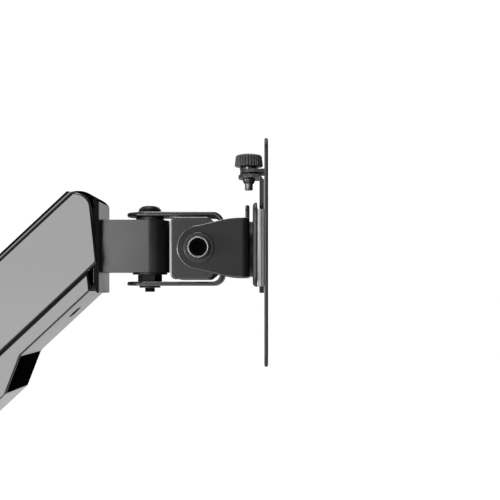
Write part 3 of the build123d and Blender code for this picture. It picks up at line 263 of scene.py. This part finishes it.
def finish(name, colour, roughness, grain, metallic=0.0, gloss=0.5, drift=0.12):
    # colour varies a little from place to place, grain is (scale per metre, bump strength, bump depth in metres)
    material = bpy.data.materials.new(name)
    material.use_nodes = True
    nodes = material.node_tree.nodes
    links = material.node_tree.links
    shader = nodes["Principled BSDF"]
    shader.inputs["Metallic"].default_value = metallic
    shader.inputs["Specular IOR Level"].default_value = gloss
    place = nodes.new("ShaderNodeTexCoord")

    broad = nodes.new("ShaderNodeTexNoise")
    broad.inputs["Scale"].default_value = surface["patchScale"]
    broad.inputs["Detail"].default_value = surface["patchDetail"]
    links.new(place.outputs["Object"], broad.inputs["Vector"])
    tone = nodes.new("ShaderNodeValToRGB")
    dark, light = tone.color_ramp.elements
    dark.position = surface["patchLow"]
    light.position = surface["patchHigh"]
    dark.color = [c * (1 - drift) for c in colour] + [1]
    light.color = [c * (1 + drift) for c in colour] + [1]
    links.new(broad.outputs["Fac"], tone.inputs["Fac"])
    links.new(tone.outputs["Color"], shader.inputs["Base Color"])

    scale, strength, depth = grain
    fine = nodes.new("ShaderNodeTexNoise")
    fine.inputs["Scale"].default_value = scale
    fine.inputs["Detail"].default_value = surface["grainDetail"]
    fine.inputs["Roughness"].default_value = surface["grainRoughness"]
    links.new(place.outputs["Object"], fine.inputs["Vector"])
    bump = nodes.new("ShaderNodeBump")
    bump.inputs["Strength"].default_value = strength
    bump.inputs["Distance"].default_value = depth
    links.new(fine.outputs["Fac"], bump.inputs["Height"])
    links.new(bump.outputs["Normal"], shader.inputs["Normal"])

    spread = nodes.new("ShaderNodeMapRange")
    spread.inputs["From Min"].default_value = surface["patchLow"]
    spread.inputs["From Max"].default_value = surface["patchHigh"]
    spread.inputs["To Min"].default_value = roughness * (1 - surface["roughnessDrift"])
    spread.inputs["To Max"].default_value = roughness * (1 + surface["roughnessDrift"])
    links.new(broad.outputs["Fac"], spread.inputs["Value"])
    links.new(spread.outputs["Result"], shader.inputs["Roughness"])
    return material


glossPaint = finish("glossBlackPaint", (0.010, 0.010, 0.011), 0.10, (260, 0.02, 0.0002), gloss=0.62, drift=0.1)
glossMoulding = finish("glossBlackMoulding", (0.010, 0.010, 0.011), 0.12, (420, 0.03, 0.0002), gloss=0.62)
castPaint = finish("satinCastPaint", (0.014, 0.014, 0.015), 0.33, (1500, 0.10, 0.0002))
powderCoat = finish("blackPowderCoat", (0.012, 0.012, 0.013), 0.46, (2100, 0.25, 0.0002), gloss=0.38)
# A darker and rougher copy of the powder coat: its darker colour paints shade on the tilt bracket
shadedPowder = finish("shadedPowderCoat", (0.009, 0.009, 0.010), 0.55, (2100, 0.25, 0.0002), gloss=0.3)
blackOxide = finish("blackOxideSteel", (0.010, 0.010, 0.011), 0.17, (1300, 0.08, 0.0001), gloss=0.9)
brightSteel = finish("brightZincSteel", (0.62, 0.62, 0.63), 0.24, (900, 0.2, 0.0001), metallic=1.0)
dullSteel = finish("zincScrewSteel", (0.30, 0.30, 0.31), 0.30, (900, 0.2, 0.0001), metallic=1.0)
# Grey of the guide rails, also used as a painted highlight on the tilt bolt's rim
railGreyAndRimHighlight = finish("greyRailAndPaintedRimHighlight", (0.42, 0.42, 0.43), 0.34, (1100, 0.12, 0.0001), metallic=0.2)
blackNylon = finish("blackNylon", (0.014, 0.014, 0.015), 0.5, (1700, 0.15, 0.0001))
knobPlastic = finish("knobPlastic", (0.036, 0.036, 0.038), 0.42, (2400, 0.4, 0.0002))
satinSteel = finish("satinBlackSteel", (0.008, 0.008, 0.009), 0.40, (1300, 0.10, 0.0001), gloss=0.3)
darkSteel = finish("darkBoltSteel", (0.005, 0.005, 0.006), 0.42, (1300, 0.10, 0.0001), gloss=0.14)
# A lighter, glossier finish on bevel faces that paints a highlight along the edges
edgeHighlight = finish("paintedEdgeHighlight", (0.018, 0.018, 0.019), 0.20, (1500, 0.08, 0.0001), gloss=0.9)
# A mid-grey that paints shade on the rails' front part
railShadow = finish("paintedRailShade", (0.18, 0.18, 0.185), 0.4, (1100, 0.12, 0.0001))
# A near-black matte finish that paints shade where the arm's mouth and hollows fall dark
shadeBlack = finish("paintedShadeBlack", (0.003, 0.003, 0.003), 0.75, (900, 0.2, 0.0002), gloss=0.0)
rubberFinish = finish("blackRubber", (0.020, 0.020, 0.020), 0.8, (1200, 0.4, 0.0002), gloss=0.35)
print("finishes made")


# Arm shells: the top one has crest slopes painted dark as shade, and the one below has a broad lower edge and a round
# mouth
shells = {
    "topShell": {"node": "upper_shell", "slot": "gloss_black", "paint": glossPaint, "edge": 1.1 * mm},
    "underShell": {"node": "lower_shell", "slot": "gloss_cover", "paint": glossMoulding, "edge": 0.5 * mm,
                   "lowerEdge": 1.0 * mm, "mouthEdge": 2.2 * mm, "strip": 8 * mm},
}
shellSides = {"outer": 24.9 * mm, "inner": 22.2 * mm, "crest": 0.2 * mm, "mouthDepth": 0.6 * mm,
              "mouthWidth": 10 * mm}
ridge = {"from": 21.35 * mm, "to": 21.45 * mm, "width": 2.3 * mm}    # where the top face meets its two slopes
armTilt = radians(43)
armUp = Vector((-sin(armTilt), 0, cos(armTilt)))
stepTilt = radians(21.1)
stepFace = Vector((cos(stepTilt), 0, -sin(stepTilt)))    # the belly's sloping step gets painted shade
shadedFaces = {"sideways": 0.9, "onStep": 0.985, "slopeFrom": 0.05, "slopeTo": 0.69, "upward": 0.72}
for pieceName, look in shells.items():
    shell = copyOf(look["node"], pieceName)
    isTop = pieceName == "topShell"
    crown = max(v.co.dot(armUp) for v in shell.data.vertices if abs(v.co.y) > shellSides["outer"])
    bevelEdges(shell, lambda a, b: min(abs(a.y), abs(b.y)) > shellSides["outer"]
               and (isTop or min(a.dot(armUp), b.dot(armUp)) > crown - shellSides["crest"]), look["edge"])
    if isTop:
        bevelEdges(shell, lambda a, b: ridge["from"] < min(abs(a.y), abs(b.y))
                   and max(abs(a.y), abs(b.y)) < ridge["to"], ridge["width"])
    else:    # a broad edge below, and a round corner where the underside meets the mouth
        bevelEdges(shell, lambda a, b: min(abs(a.y), abs(b.y)) > shellSides["outer"], look["lowerEdge"])
        belly = crown - look["strip"]
        front = max(v.co.x for v in shell.data.vertices if v.co.dot(armUp) < belly)
        bevelEdges(shell, lambda a, b: min(a.x, b.x) > front - shellSides["mouthDepth"]
                   and abs(a.y - b.y) > shellSides["mouthWidth"]
                   and max(a.dot(armUp), b.dot(armUp)) < belly, look["mouthEdge"])
    softenEdges(shell, 0)
    settle(shell, look["paint"], look["node"])
    shell.data.materials.append(shadeBlack)
    # Painted shade: the shells' inside faces, the belly's step and the top shell's crest slopes get the near-black
    # finish
    for face in shell.data.polygons:
        inside = abs(face.normal.y) > shadedFaces["sideways"] and abs(face.center.y) < shellSides["inner"]
        step = not isTop and face.normal.dot(stepFace) > shadedFaces["onStep"]
        crest = (isTop and shadedFaces["slopeFrom"] < abs(face.normal.y) < shadedFaces["slopeTo"]
                 and face.normal.dot(armUp) > shadedFaces["upward"])
        face.material_index = 1 if inside or step or crest else 0
print("arm shells made")


# Castings, brackets and plates that keep their CAD outline and get rounded edges: node, radius, finish, slot
rounded = {
    "linkCasting": ("head_link", 0.9 * mm, castPaint, "cast_grey"),
    "knuckleCasting": ("elbow_knuckle", 0.9 * mm, castPaint, "cast_grey"),
    "foldedPanBracket": ("pan_bracket", 0.8 * mm, powderCoat, "powder_black"),
    # The tilt bracket takes the darker copy of the powder coat as painted shade
    "foldedTiltBracket": ("tilt_bracket", 0.7 * mm, shadedPowder, "powder_black"),
    "pressedTray": ("receiver_tray", 0.3 * mm, powderCoat, "powder_black"),
    "slideStrip": ("receiver_strip", 0.25 * mm, powderCoat, "powder_black"),
    "screenPlate": ("vesa_plate", 0.25 * mm, powderCoat, "powder_black"),
    "guideRails": ("slide_guides", 0.45 * mm, railGreyAndRimHighlight, "bright_steel"),
    "turnDisc": ("rotation_washer", 0.3 * mm, blackNylon, "black_nylon"),
    "rearBeam": ("lower_arm", 1.2 * mm, glossPaint, "gloss_black"),
    "beamCover": ("lower_arm_cover", 0.3 * mm, glossMoulding, "gloss_cover"),
    "cordClips": ("cable_clips", 0.4 * mm, blackNylon, "black_nylon"),
    "hubLid": ("hub_cap", 0.5 * mm, glossMoulding, "gloss_cover"),
    "elbowLid": ("elbow_cap", 1.0 * mm, glossMoulding, "gloss_cover"),
    "postColumn": ("post", 0.5 * mm, powderCoat, "powder_black"),
    "postRing": ("post_collar", 0.8 * mm, powderCoat, "powder_black"),
    "seatPlate": ("base_plate", 0.6 * mm, powderCoat, "powder_black"),
    "clampLeg": ("clamp_bracket", 0.6 * mm, powderCoat, "powder_black"),
    "deskCushion": ("desk_pad", 0.4 * mm, rubberFinish, "rubber"),
    "clampCushion": ("clamp_pad_face", 0.5 * mm, rubberFinish, "rubber"),
    "clampDish": ("clamp_pad", 0.6 * mm, powderCoat, "powder_black"),
    "clampKnob": ("clamp_handle", 0.8 * mm, knobPlastic, "knob_plastic"),
    "levelBars": ("link_bars", 0.4 * mm, powderCoat, "powder_black"),
    "strutTube": ("gas_cylinder", 0.4 * mm, powderCoat, "powder_black"),
    "armScrews": ("shell_screws", 0.2 * mm, blackOxide, "black_oxide"),
    "panShims": ("pan_washers", 0.12 * mm, satinSteel, "black_oxide"),
    "tiltShims": ("tilt_washers", 0.25 * mm, satinSteel, "black_oxide"),
    "panSleeve": ("pan_bush", 0.2 * mm, blackNylon, "black_nylon"),
}
foldedSheets = {"foldedPanBracket", "foldedTiltBracket"}    # even rounding along the short edges of their bends
# These pieces' bevel faces get the painted edge highlight
brightEdges = {"foldedPanBracket", "foldedTiltBracket", "pressedTray", "tiltShims", "panShims", "slideStrip"}
plateLow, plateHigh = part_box("vesa_plate")
plateMiddle = (plateLow + plateHigh) / 2
plateRim = {"from": plateHigh.y - 2.24 * mm, "width": 0.8 * mm}    # reaches round the plate's 7 mm corners
tabs = {"slideStrip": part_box("receiver_strip")[0].x, "screenPlate": plateLow.x}    # where each tab ends
tabEnds = {"depth": 0.1 * mm, "height": 1 * mm, "corner": 8.5 * mm, "segments": 9}
stripGrowth = {"depth": 0.05 * mm, "by": 0.8 * mm}    # the strip all but touches the plate
for pieceName, (node, edge, material, slotName) in rounded.items():
    part = copyOf(node, pieceName)
    if pieceName in tabs:    # the thumb screw's tabs have round ends
        tabEnd = tabs[pieceName] + tabEnds["depth"]
        bevelEdges(part, lambda a, b: max(a.x, b.x) < tabEnd and abs(a.z - b.z) > tabEnds["height"],
                   tabEnds["corner"], tabEnds["segments"])
    if pieceName == "screenPlate":
        bevelEdges(part, lambda a, b: min(max(abs(p.y), abs(p.z - plateMiddle.z)) for p in (a, b))
                   > plateRim["from"], plateRim["width"])
    if pieceName == "slideStrip":
        stripFront = max(vertex.co.x for vertex in part.data.vertices)
        for vertex in part.data.vertices:
            vertex.co.x += stripGrowth["by"] if vertex.co.x > stripFront - stripGrowth["depth"] else 0
    if pieceName in brightEdges:
        part.data.materials.append(material)
        part.data.materials.append(edgeHighlight)
    softenEdges(part, edge, clamp=pieceName not in foldedSheets, edgeSlot=1 if pieceName in brightEdges else -1)
    settle(part, material, node)

# The link's rear end and its hood over the front pivot get painted shade inside the arm's mouth
link = bpy.data.objects["linkCasting"]
link.data.materials.append(shadeBlack)
linkRoot = {"front": middle("pan_bolt").x - 26.4 * mm, "plate": 2.9 * mm, "lip": 0.1 * mm,
            "hoodFoot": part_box("front_main_pin")[1].z, "sideways": 0.5}
for face in link.data.polygons:
    behind = face.center.x < linkRoot["front"] - linkRoot["plate"]
    hood = (face.center.x < linkRoot["front"] - linkRoot["lip"] and face.center.z > linkRoot["hoodFoot"]
            and abs(face.normal.y) < linkRoot["sideways"])
    face.material_index = 1 if behind or hood else 0

# The near and far rails each have a dark lengthwise groove, and their front part gets painted shade
rails = bpy.data.objects["guideRails"]
railLow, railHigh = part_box("slide_guides")
groove = {"along": 0.58, "width": 0.55 * mm, "depth": 0.7 * mm, "length": 60 * mm, "shadowFrom": 0.6}
grooveAt = railLow.x + (railHigh.x - railLow.x) * groove["along"]
for side in (-1, 1):
    bpy.ops.mesh.primitive_cube_add(size=1, location=(grooveAt, side * railHigh.y, middle("slide_guides").z),
                                    scale=(groove["width"], groove["depth"] * 2, groove["length"]))
    cutAway(rails, bpy.context.object)
rails.data.materials.append(railShadow)
for face in rails.data.polygons:
    face.material_index = 1 if face.center.x > grooveAt - groove["width"] * groove["shadowFrom"] else 0
print("castings and brackets made")


# Pan bolt: domed head, plain shank, threaded tail
panBolt = {"headRadius": 6.6 * mm, "flat": 2.2 * mm, "rise": 3.2 * mm, "rim": 1.0 * mm, "shank": 3 * mm,
           "pitch": 0.8 * mm, "threadDepth": 0.4 * mm, "threadLength": 12 * mm, "socket": 4 * mm,
           "socketTop": 6 * mm}
low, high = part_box("pan_bolt")
centre = middle("pan_bolt")
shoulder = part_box("pan_bracket")[1].z
length = shoulder - low.z
tail = groovedRings(0, panBolt["threadLength"], panBolt["shank"], panBolt["pitch"], panBolt["threadDepth"])
head = [(length, panBolt["shank"]), (length, panBolt["headRadius"]),
        (length + panBolt["rim"], panBolt["headRadius"])]
head += dome(length + panBolt["rim"], panBolt["headRadius"], panBolt["rise"], panBolt["flat"])[1:]
tip = [(0, panBolt["shank"] - panBolt["threadDepth"] * threadForm["lead"])]
bolt = turned("panBolt", tip + tail[1:] + head, 48)
hexSocket(bolt, panBolt["socket"], length + panBolt["rim"], length + panBolt["socketTop"])
softenEdges(bolt, 0)
stand(bolt, (centre.x, centre.y, low.z))
settle(bolt, darkSteel, "pan_bolt")


# Hexagon nuts: a six-sided bar turned down at its corners
hexBar = {"cornerShare": 0.93, "chamferShare": 0.7, "bore": 3.02 * mm, "edge": 0.12 * mm,
          "spareRadius": 1.01, "spareHeight": 0.01 * mm}


def hexNut(name, node, way):
    # way is where the nut's axis points
    low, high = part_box(node)
    size = high - low
    upright = way == "+Z"
    height = size.z if upright else size.y
    corner = max(size.x, size.y if upright else size.z) / 2
    bpy.ops.object.select_all(action="DESELECT")
    bpy.ops.mesh.primitive_cylinder_add(vertices=6, radius=corner, depth=height, location=(0, 0, height / 2))
    nut = bpy.context.object
    nut.name = name
    bpy.ops.object.transform_apply(location=True, rotation=True, scale=True)
    small = corner * hexBar["cornerShare"]
    full = corner * hexBar["spareRadius"]
    chamfer = corner * (1 - hexBar["cornerShare"]) * hexBar["chamferShare"]
    blank = turned("blank", [(-hexBar["spareHeight"], small), (chamfer, full), (height - chamfer, full),
                             (height + hexBar["spareHeight"], small)])
    cutAway(nut, blank, "INTERSECT")
    boreThrough(nut, hexBar["bore"], height, 40)
    if upright:
        nut.rotation_euler = (0, 0, pi / 6)
        hold(nut)
        bpy.ops.object.transform_apply(location=False, rotation=True, scale=False)
    softenEdges(nut, hexBar["edge"], 2)
    place = middle(node)
    stand(nut, (place.x, place.y, low.z) if upright else (place.x, low.y, place.z), way)
    settle(nut, darkSteel, node)


hexNut("panNut", "pan_nut", "+Z")
hexNut("tiltNut", "tilt_nut", "+Y")
print("pan bolt and nuts made")


# Tilt bolt: knurled cap head, dished, with a hexagon socket
tiltBolt = {"headRadius": 6 * mm, "knurls": 40, "knurlDepth": 0.25 * mm, "edge": 0.15 * mm,
            "rimFlat": 0.4 * mm, "rimWidth": 0.9 * mm, "dish": 0.8 * mm, "dishSlope": 0.5 * mm,
            "socket": 6 * mm, "socketDepth": 3.4 * mm, "shank": 3 * mm, "pitch": 0.8 * mm,
            "threadDepth": 0.4 * mm, "threadLength": 14 * mm, "brightRim": 0.2 * mm,
            "socketTop": 1 * mm, "fluteReach": 0.01 * mm, "darkFrom": 0.5}
low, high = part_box("tilt_bolt")
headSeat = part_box("tilt_washers")[0].y
headHeight = headSeat - low.y
centre = middle("tilt_bolt")
fullRadius = tiltBolt["headRadius"]
dishRadius = fullRadius - tiltBolt["rimWidth"]
head = turned("tiltHead", [(0, fullRadius), (headHeight - tiltBolt["rimFlat"], fullRadius),
                           (headHeight, fullRadius - tiltBolt["rimFlat"]), (headHeight, dishRadius),
                           (headHeight - tiltBolt["dish"], dishRadius - tiltBolt["dishSlope"])],
              tiltBolt["knurls"] * 2)
sinkFlutes(head, tiltBolt["knurls"], 2, 0.5, 1.5, fullRadius - tiltBolt["fluteReach"],
           1 - tiltBolt["knurlDepth"] / fullRadius)
hexSocket(head, tiltBolt["socket"], headHeight - tiltBolt["socketDepth"], headHeight + tiltBolt["socketTop"])
threadRoot = tiltBolt["shank"] - tiltBolt["threadDepth"]
thread = groovedRings(0, tiltBolt["threadLength"], tiltBolt["shank"], tiltBolt["pitch"], tiltBolt["threadDepth"])
shank = turned("tiltShank", [(0, threadRoot)] + thread[1:] + [(high.y - headSeat, tiltBolt["shank"])], 32)
# The head's bevels take the grey as a painted highlight, and its dish and socket take the painted shade
for material in (satinSteel, railGreyAndRimHighlight, shadeBlack):
    head.data.materials.append(material)
shank.data.materials.append(satinSteel)
softenEdges(head, tiltBolt["edge"], 2, 50, edgeSlot=1)
softenEdges(shank, 0)
stand(head, (centre.x, headSeat, centre.z), "-Y")
stand(shank, (centre.x, high.y, centre.z), "-Y")
bolt = joined("tiltBolt", [head, shank])
settle(bolt, satinSteel, "tilt_bolt")
dishLevel = low.y + tiltBolt["dish"] * tiltBolt["darkFrom"]
for face in bolt.data.polygons:    # the dish and the socket get painted shade inside a rim with a painted highlight
    away = Vector((face.center.x - centre.x, face.center.z - centre.z)).length
    if away < dishRadius - tiltBolt["brightRim"] and dishLevel < face.center.y < headSeat:
        face.material_index = 2
print("tilt bolt made")


# Thumb screw: ribbed knob, collar, screw and clinch nut
thumbKnob = {"ribs": 30, "topRadius": 7.6 * mm, "waist": 8.2 * mm, "ribDepth": 0.5 * mm, "ribTop": 0.75 * mm,
             "crown": 0.8 * mm, "foot": 0.5 * mm, "shoulder": 0.7 * mm, "crownInset": 2.4 * mm,
             "topInset": 5 * mm, "crownRing": 0.4, "edge": 0.1 * mm}
low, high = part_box("thumb_knob")
centre = middle("thumb_knob")
height = high.z - low.z
crownFoot = height - thumbKnob["crown"]
topRadius = thumbKnob["topRadius"]
crownRing = height - thumbKnob["crown"] * thumbKnob["crownRing"]
knob = turned("ribbedKnob", [(0, thumbKnob["waist"] - thumbKnob["foot"]), (thumbKnob["foot"], thumbKnob["waist"]),
                             (crownFoot - thumbKnob["shoulder"], topRadius),
                             (crownFoot, topRadius - thumbKnob["shoulder"]),
                             (crownRing, topRadius - thumbKnob["crownInset"]),
                             (height, topRadius - thumbKnob["topInset"])], thumbKnob["ribs"] * 4)
sinkFlutes(knob, thumbKnob["ribs"], 4, 1.5, 4, topRadius - thumbKnob["ribTop"],
           1 - thumbKnob["ribDepth"] / thumbKnob["waist"])
softenEdges(knob, thumbKnob["edge"], 1, 28)
stand(knob, (centre.x, centre.y, low.z))
settle(knob, knobPlastic, "thumb_knob")

collarShape = {"foot": 0.4 * mm, "top": 0.5 * mm, "topInset": 0.6 * mm, "bore": 2.55 * mm, "edge": 0.12 * mm}
low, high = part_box("thumb_collar")
height, radius = high.z - low.z, (high.x - low.x) / 2
collar = turned("knobCollar", [(0, radius - collarShape["foot"]), (collarShape["foot"], radius),
                               (height - collarShape["top"], radius), (height, radius - collarShape["topInset"])])
boreThrough(collar, collarShape["bore"], height)
softenEdges(collar, collarShape["edge"], 2)
stand(collar, (centre.x, centre.y, low.z))
settle(collar, blackOxide, "thumb_collar")

thumbScrew = {"radius": 2.5 * mm, "pitch": 0.8 * mm, "depth": 0.38 * mm, "tip": 0.3 * mm,
              "tipInset": 0.6 * mm, "tipSlope": 0.2 * mm, "threadFrom": 0.35 * mm}
low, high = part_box("thumb_screw")
rings = groovedRings(0, high.z - low.z, thumbScrew["radius"], thumbScrew["pitch"], thumbScrew["depth"])
screw = turned("thumbThread", [(0, thumbScrew["radius"] - thumbScrew["tipInset"]),
                               (thumbScrew["tip"], thumbScrew["radius"] - thumbScrew["tipSlope"])]
               + [ring for ring in rings if ring[0] > thumbScrew["threadFrom"]], 32)
softenEdges(screw, 0)
stand(screw, (centre.x, centre.y, low.z))
settle(screw, dullSteel, "thumb_screw")

clinchNut = {"footInset": 0.9 * mm, "foot": 0.5 * mm, "coneInset": 0.5 * mm, "flange": 0.5 * mm,
             "bore": 2.55 * mm, "edge": 0.15 * mm}
low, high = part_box("thumb_nut")
height, radius = high.z - low.z, (high.x - low.x) / 2
nut = turned("clinchNut", [(0, radius - clinchNut["footInset"]), (clinchNut["foot"], radius - clinchNut["coneInset"]),
                           (height - clinchNut["flange"], radius), (height, radius)])
boreThrough(nut, clinchNut["bore"], height)
softenEdges(nut, clinchNut["edge"], 2)
stand(nut, (centre.x, centre.y, low.z))
settle(nut, blackOxide, "thumb_nut")
print("thumb screw made")


# Clamp screw
clampThread = {"radius": 6 * mm, "pitch": 1.75 * mm, "depth": 0.9 * mm}
low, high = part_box("clamp_screw")
centre = middle("clamp_screw")
rings = groovedRings(0, high.z - low.z, clampThread["radius"], clampThread["pitch"], clampThread["depth"])
screw = turned("clampThread", [(0, clampThread["radius"] - clampThread["depth"])] + rings[1:], 40)
softenEdges(screw, 0)
stand(screw, (centre.x, centre.y, low.z))
settle(screw, blackOxide, "clamp_screw")
print("clamp screw made")


# CAD pieces whose shape stays: they only get their finish
kept = {
    blackOxide: ["bracket_screws", "clamp_nut", "post_bolt", "post_screw", "post_washer", "elbow_nut", "elbow_pin",
                 "front_main_pin", "front_link_pin", "rear_main_pins", "rear_link_pins", "rod_pin",
                 "strut_front_pin", "tension_screw", "rotation_rivet"],
    blackNylon: ["post_bushes", "elbow_bushes", "friction_washers", "cylinder_gland"],
    powderCoat: ["tension_nut"],
    brightSteel: ["gas_rod"],
}
for material, names in kept.items():
    for node in names:
        mesh = frame["nodes"][node].data
        mesh.materials.clear()
        mesh.materials.append(material)
print("kept CAD pieces finished")


# Floor: it glows white to the camera, and half as brightly in the arm's glossy underside
floorLook = {"drop": 0.06, "size": 240, "x": 0.25, "glow": 0.88, "mirrorShare": 0.5}
bpy.ops.object.select_all(action="DESELECT")
bpy.ops.mesh.primitive_plane_add(size=floorLook["size"],
                                 location=(floorLook["x"], 0, cadBox[0][2] - floorLook["drop"]))
floor = bpy.context.object
floor.name = "studioFloor"
bpy.ops.object.transform_apply(location=True, rotation=True, scale=True)
floorPaint = finish("paleFloor", (0.48, 0.48, 0.48), 0.6, (30, 0.05, 0.0005), gloss=0.1, drift=0.01)
nodes = floorPaint.node_tree.nodes
links = floorPaint.node_tree.links
floorShader = nodes["Principled BSDF"]
floorShader.inputs["Emission Color"].default_value = (1, 1, 1, 1)
floorRays = nodes.new("ShaderNodeLightPath")
floorGlow = nodes.new("ShaderNodeMath")
floorGlow.operation = "MULTIPLY"
floorGlow.inputs[1].default_value = floorLook["glow"]
mirrored = nodes.new("ShaderNodeMath")
mirrored.operation = "MULTIPLY_ADD"
mirrored.inputs[1].default_value = floorLook["mirrorShare"]
links.new(floorRays.outputs["Is Glossy Ray"], mirrored.inputs[0])
links.new(floorRays.outputs["Is Camera Ray"], mirrored.inputs[2])
links.new(mirrored.outputs["Value"], floorGlow.inputs[0])
links.new(floorGlow.outputs["Value"], floorShader.inputs["Emission Strength"])
floor.data.materials.append(floorPaint)

# Softboxes, all aimed at the head: place, width, height and how bright each face is
headPlace = Vector((0.45, 0, 0.28))
softboxes = {
    "keySoftbox": ((-0.30, -2.2, 0.30), 1.05, 1.4, 7.3),
    "topSoftbox": ((0.2, -0.1, 2.3), 1.3, 1.0, 9.0),
    "crownSoftbox": ((-1.15, 0.46, 1.67), 1.0, 1.0, 2.4),
    "sideSoftbox": ((-1.3, -0.85, 0.12), 0.8, 0.55, 22.0),
    "rearSoftbox": ((0.9, 2.4, 1.6), 2.0, 1.6, 1.0),
}
for lampName, (place, width, height, radiance) in softboxes.items():
    bpy.ops.object.light_add(type="AREA", location=place)
    lamp = bpy.context.object
    lamp.name = lampName
    lamp.data.shape = "RECTANGLE"
    lamp.data.size = width
    lamp.data.size_y = height
    lamp.data.energy = radiance * pi * width * height
    lamp.rotation_euler = (headPlace - Vector(place)).to_track_quat("-Z", "Y").to_euler()
    lamp.visible_camera = False

# World: white to the camera, and otherwise dim in front of the arm and bright behind it
backdrop = {"seen": 1.05, "front": 0.05, "behind": 0.85, "fadeFrom": 0.25, "fadeTo": 0.85}
world = bpy.data.worlds.new("paleStudio")
bpy.context.scene.world = world
world.use_nodes = True
nodes = world.node_tree.nodes
links = world.node_tree.links
nodes.clear()
seen = nodes.new("ShaderNodeBackground")
seen.inputs["Color"].default_value = (1, 1, 1, 1)
seen.inputs["Strength"].default_value = backdrop["seen"]
way = nodes.new("ShaderNodeTexCoord")
split = nodes.new("ShaderNodeSeparateXYZ")
links.new(way.outputs["Generated"], split.inputs["Vector"])
fade = nodes.new("ShaderNodeMapRange")
fade.interpolation_type = "SMOOTHSTEP"
fade.inputs["From Min"].default_value = backdrop["fadeFrom"]
fade.inputs["From Max"].default_value = backdrop["fadeTo"]
fade.inputs["To Min"].default_value = backdrop["front"]
fade.inputs["To Max"].default_value = backdrop["behind"]
links.new(split.outputs["Y"], fade.inputs["Value"])
lit = nodes.new("ShaderNodeBackground")
lit.inputs["Color"].default_value = (1, 1, 1, 1)
links.new(fade.outputs["Result"], lit.inputs["Strength"])
rays = nodes.new("ShaderNodeLightPath")
either = nodes.new("ShaderNodeMixShader")
links.new(rays.outputs["Is Camera Ray"], either.inputs["Fac"])
links.new(lit.outputs["Background"], either.inputs[1])
links.new(seen.outputs["Background"], either.inputs[2])
output = nodes.new("ShaderNodeOutputWorld")
links.new(either.outputs["Shader"], output.inputs["Surface"])

# Side view from the near side of the arm, at the head's height
view = {"place": (0.5608, -0.550, 0.2737), "lens": 68.5, "sensor": 36, "shift": (-0.03, 0.08), "near": 0.01}
bpy.ops.object.camera_add(location=view["place"], rotation=(pi / 2, 0, 0))
camera = bpy.context.object
camera.data.lens = view["lens"]
camera.data.sensor_width = view["sensor"]
camera.data.shift_x, camera.data.shift_y = view["shift"]
camera.data.clip_start = view["near"]
bpy.context.scene.camera = camera
bpy.context.scene.view_settings.view_transform = "Standard"
print("studio ready")
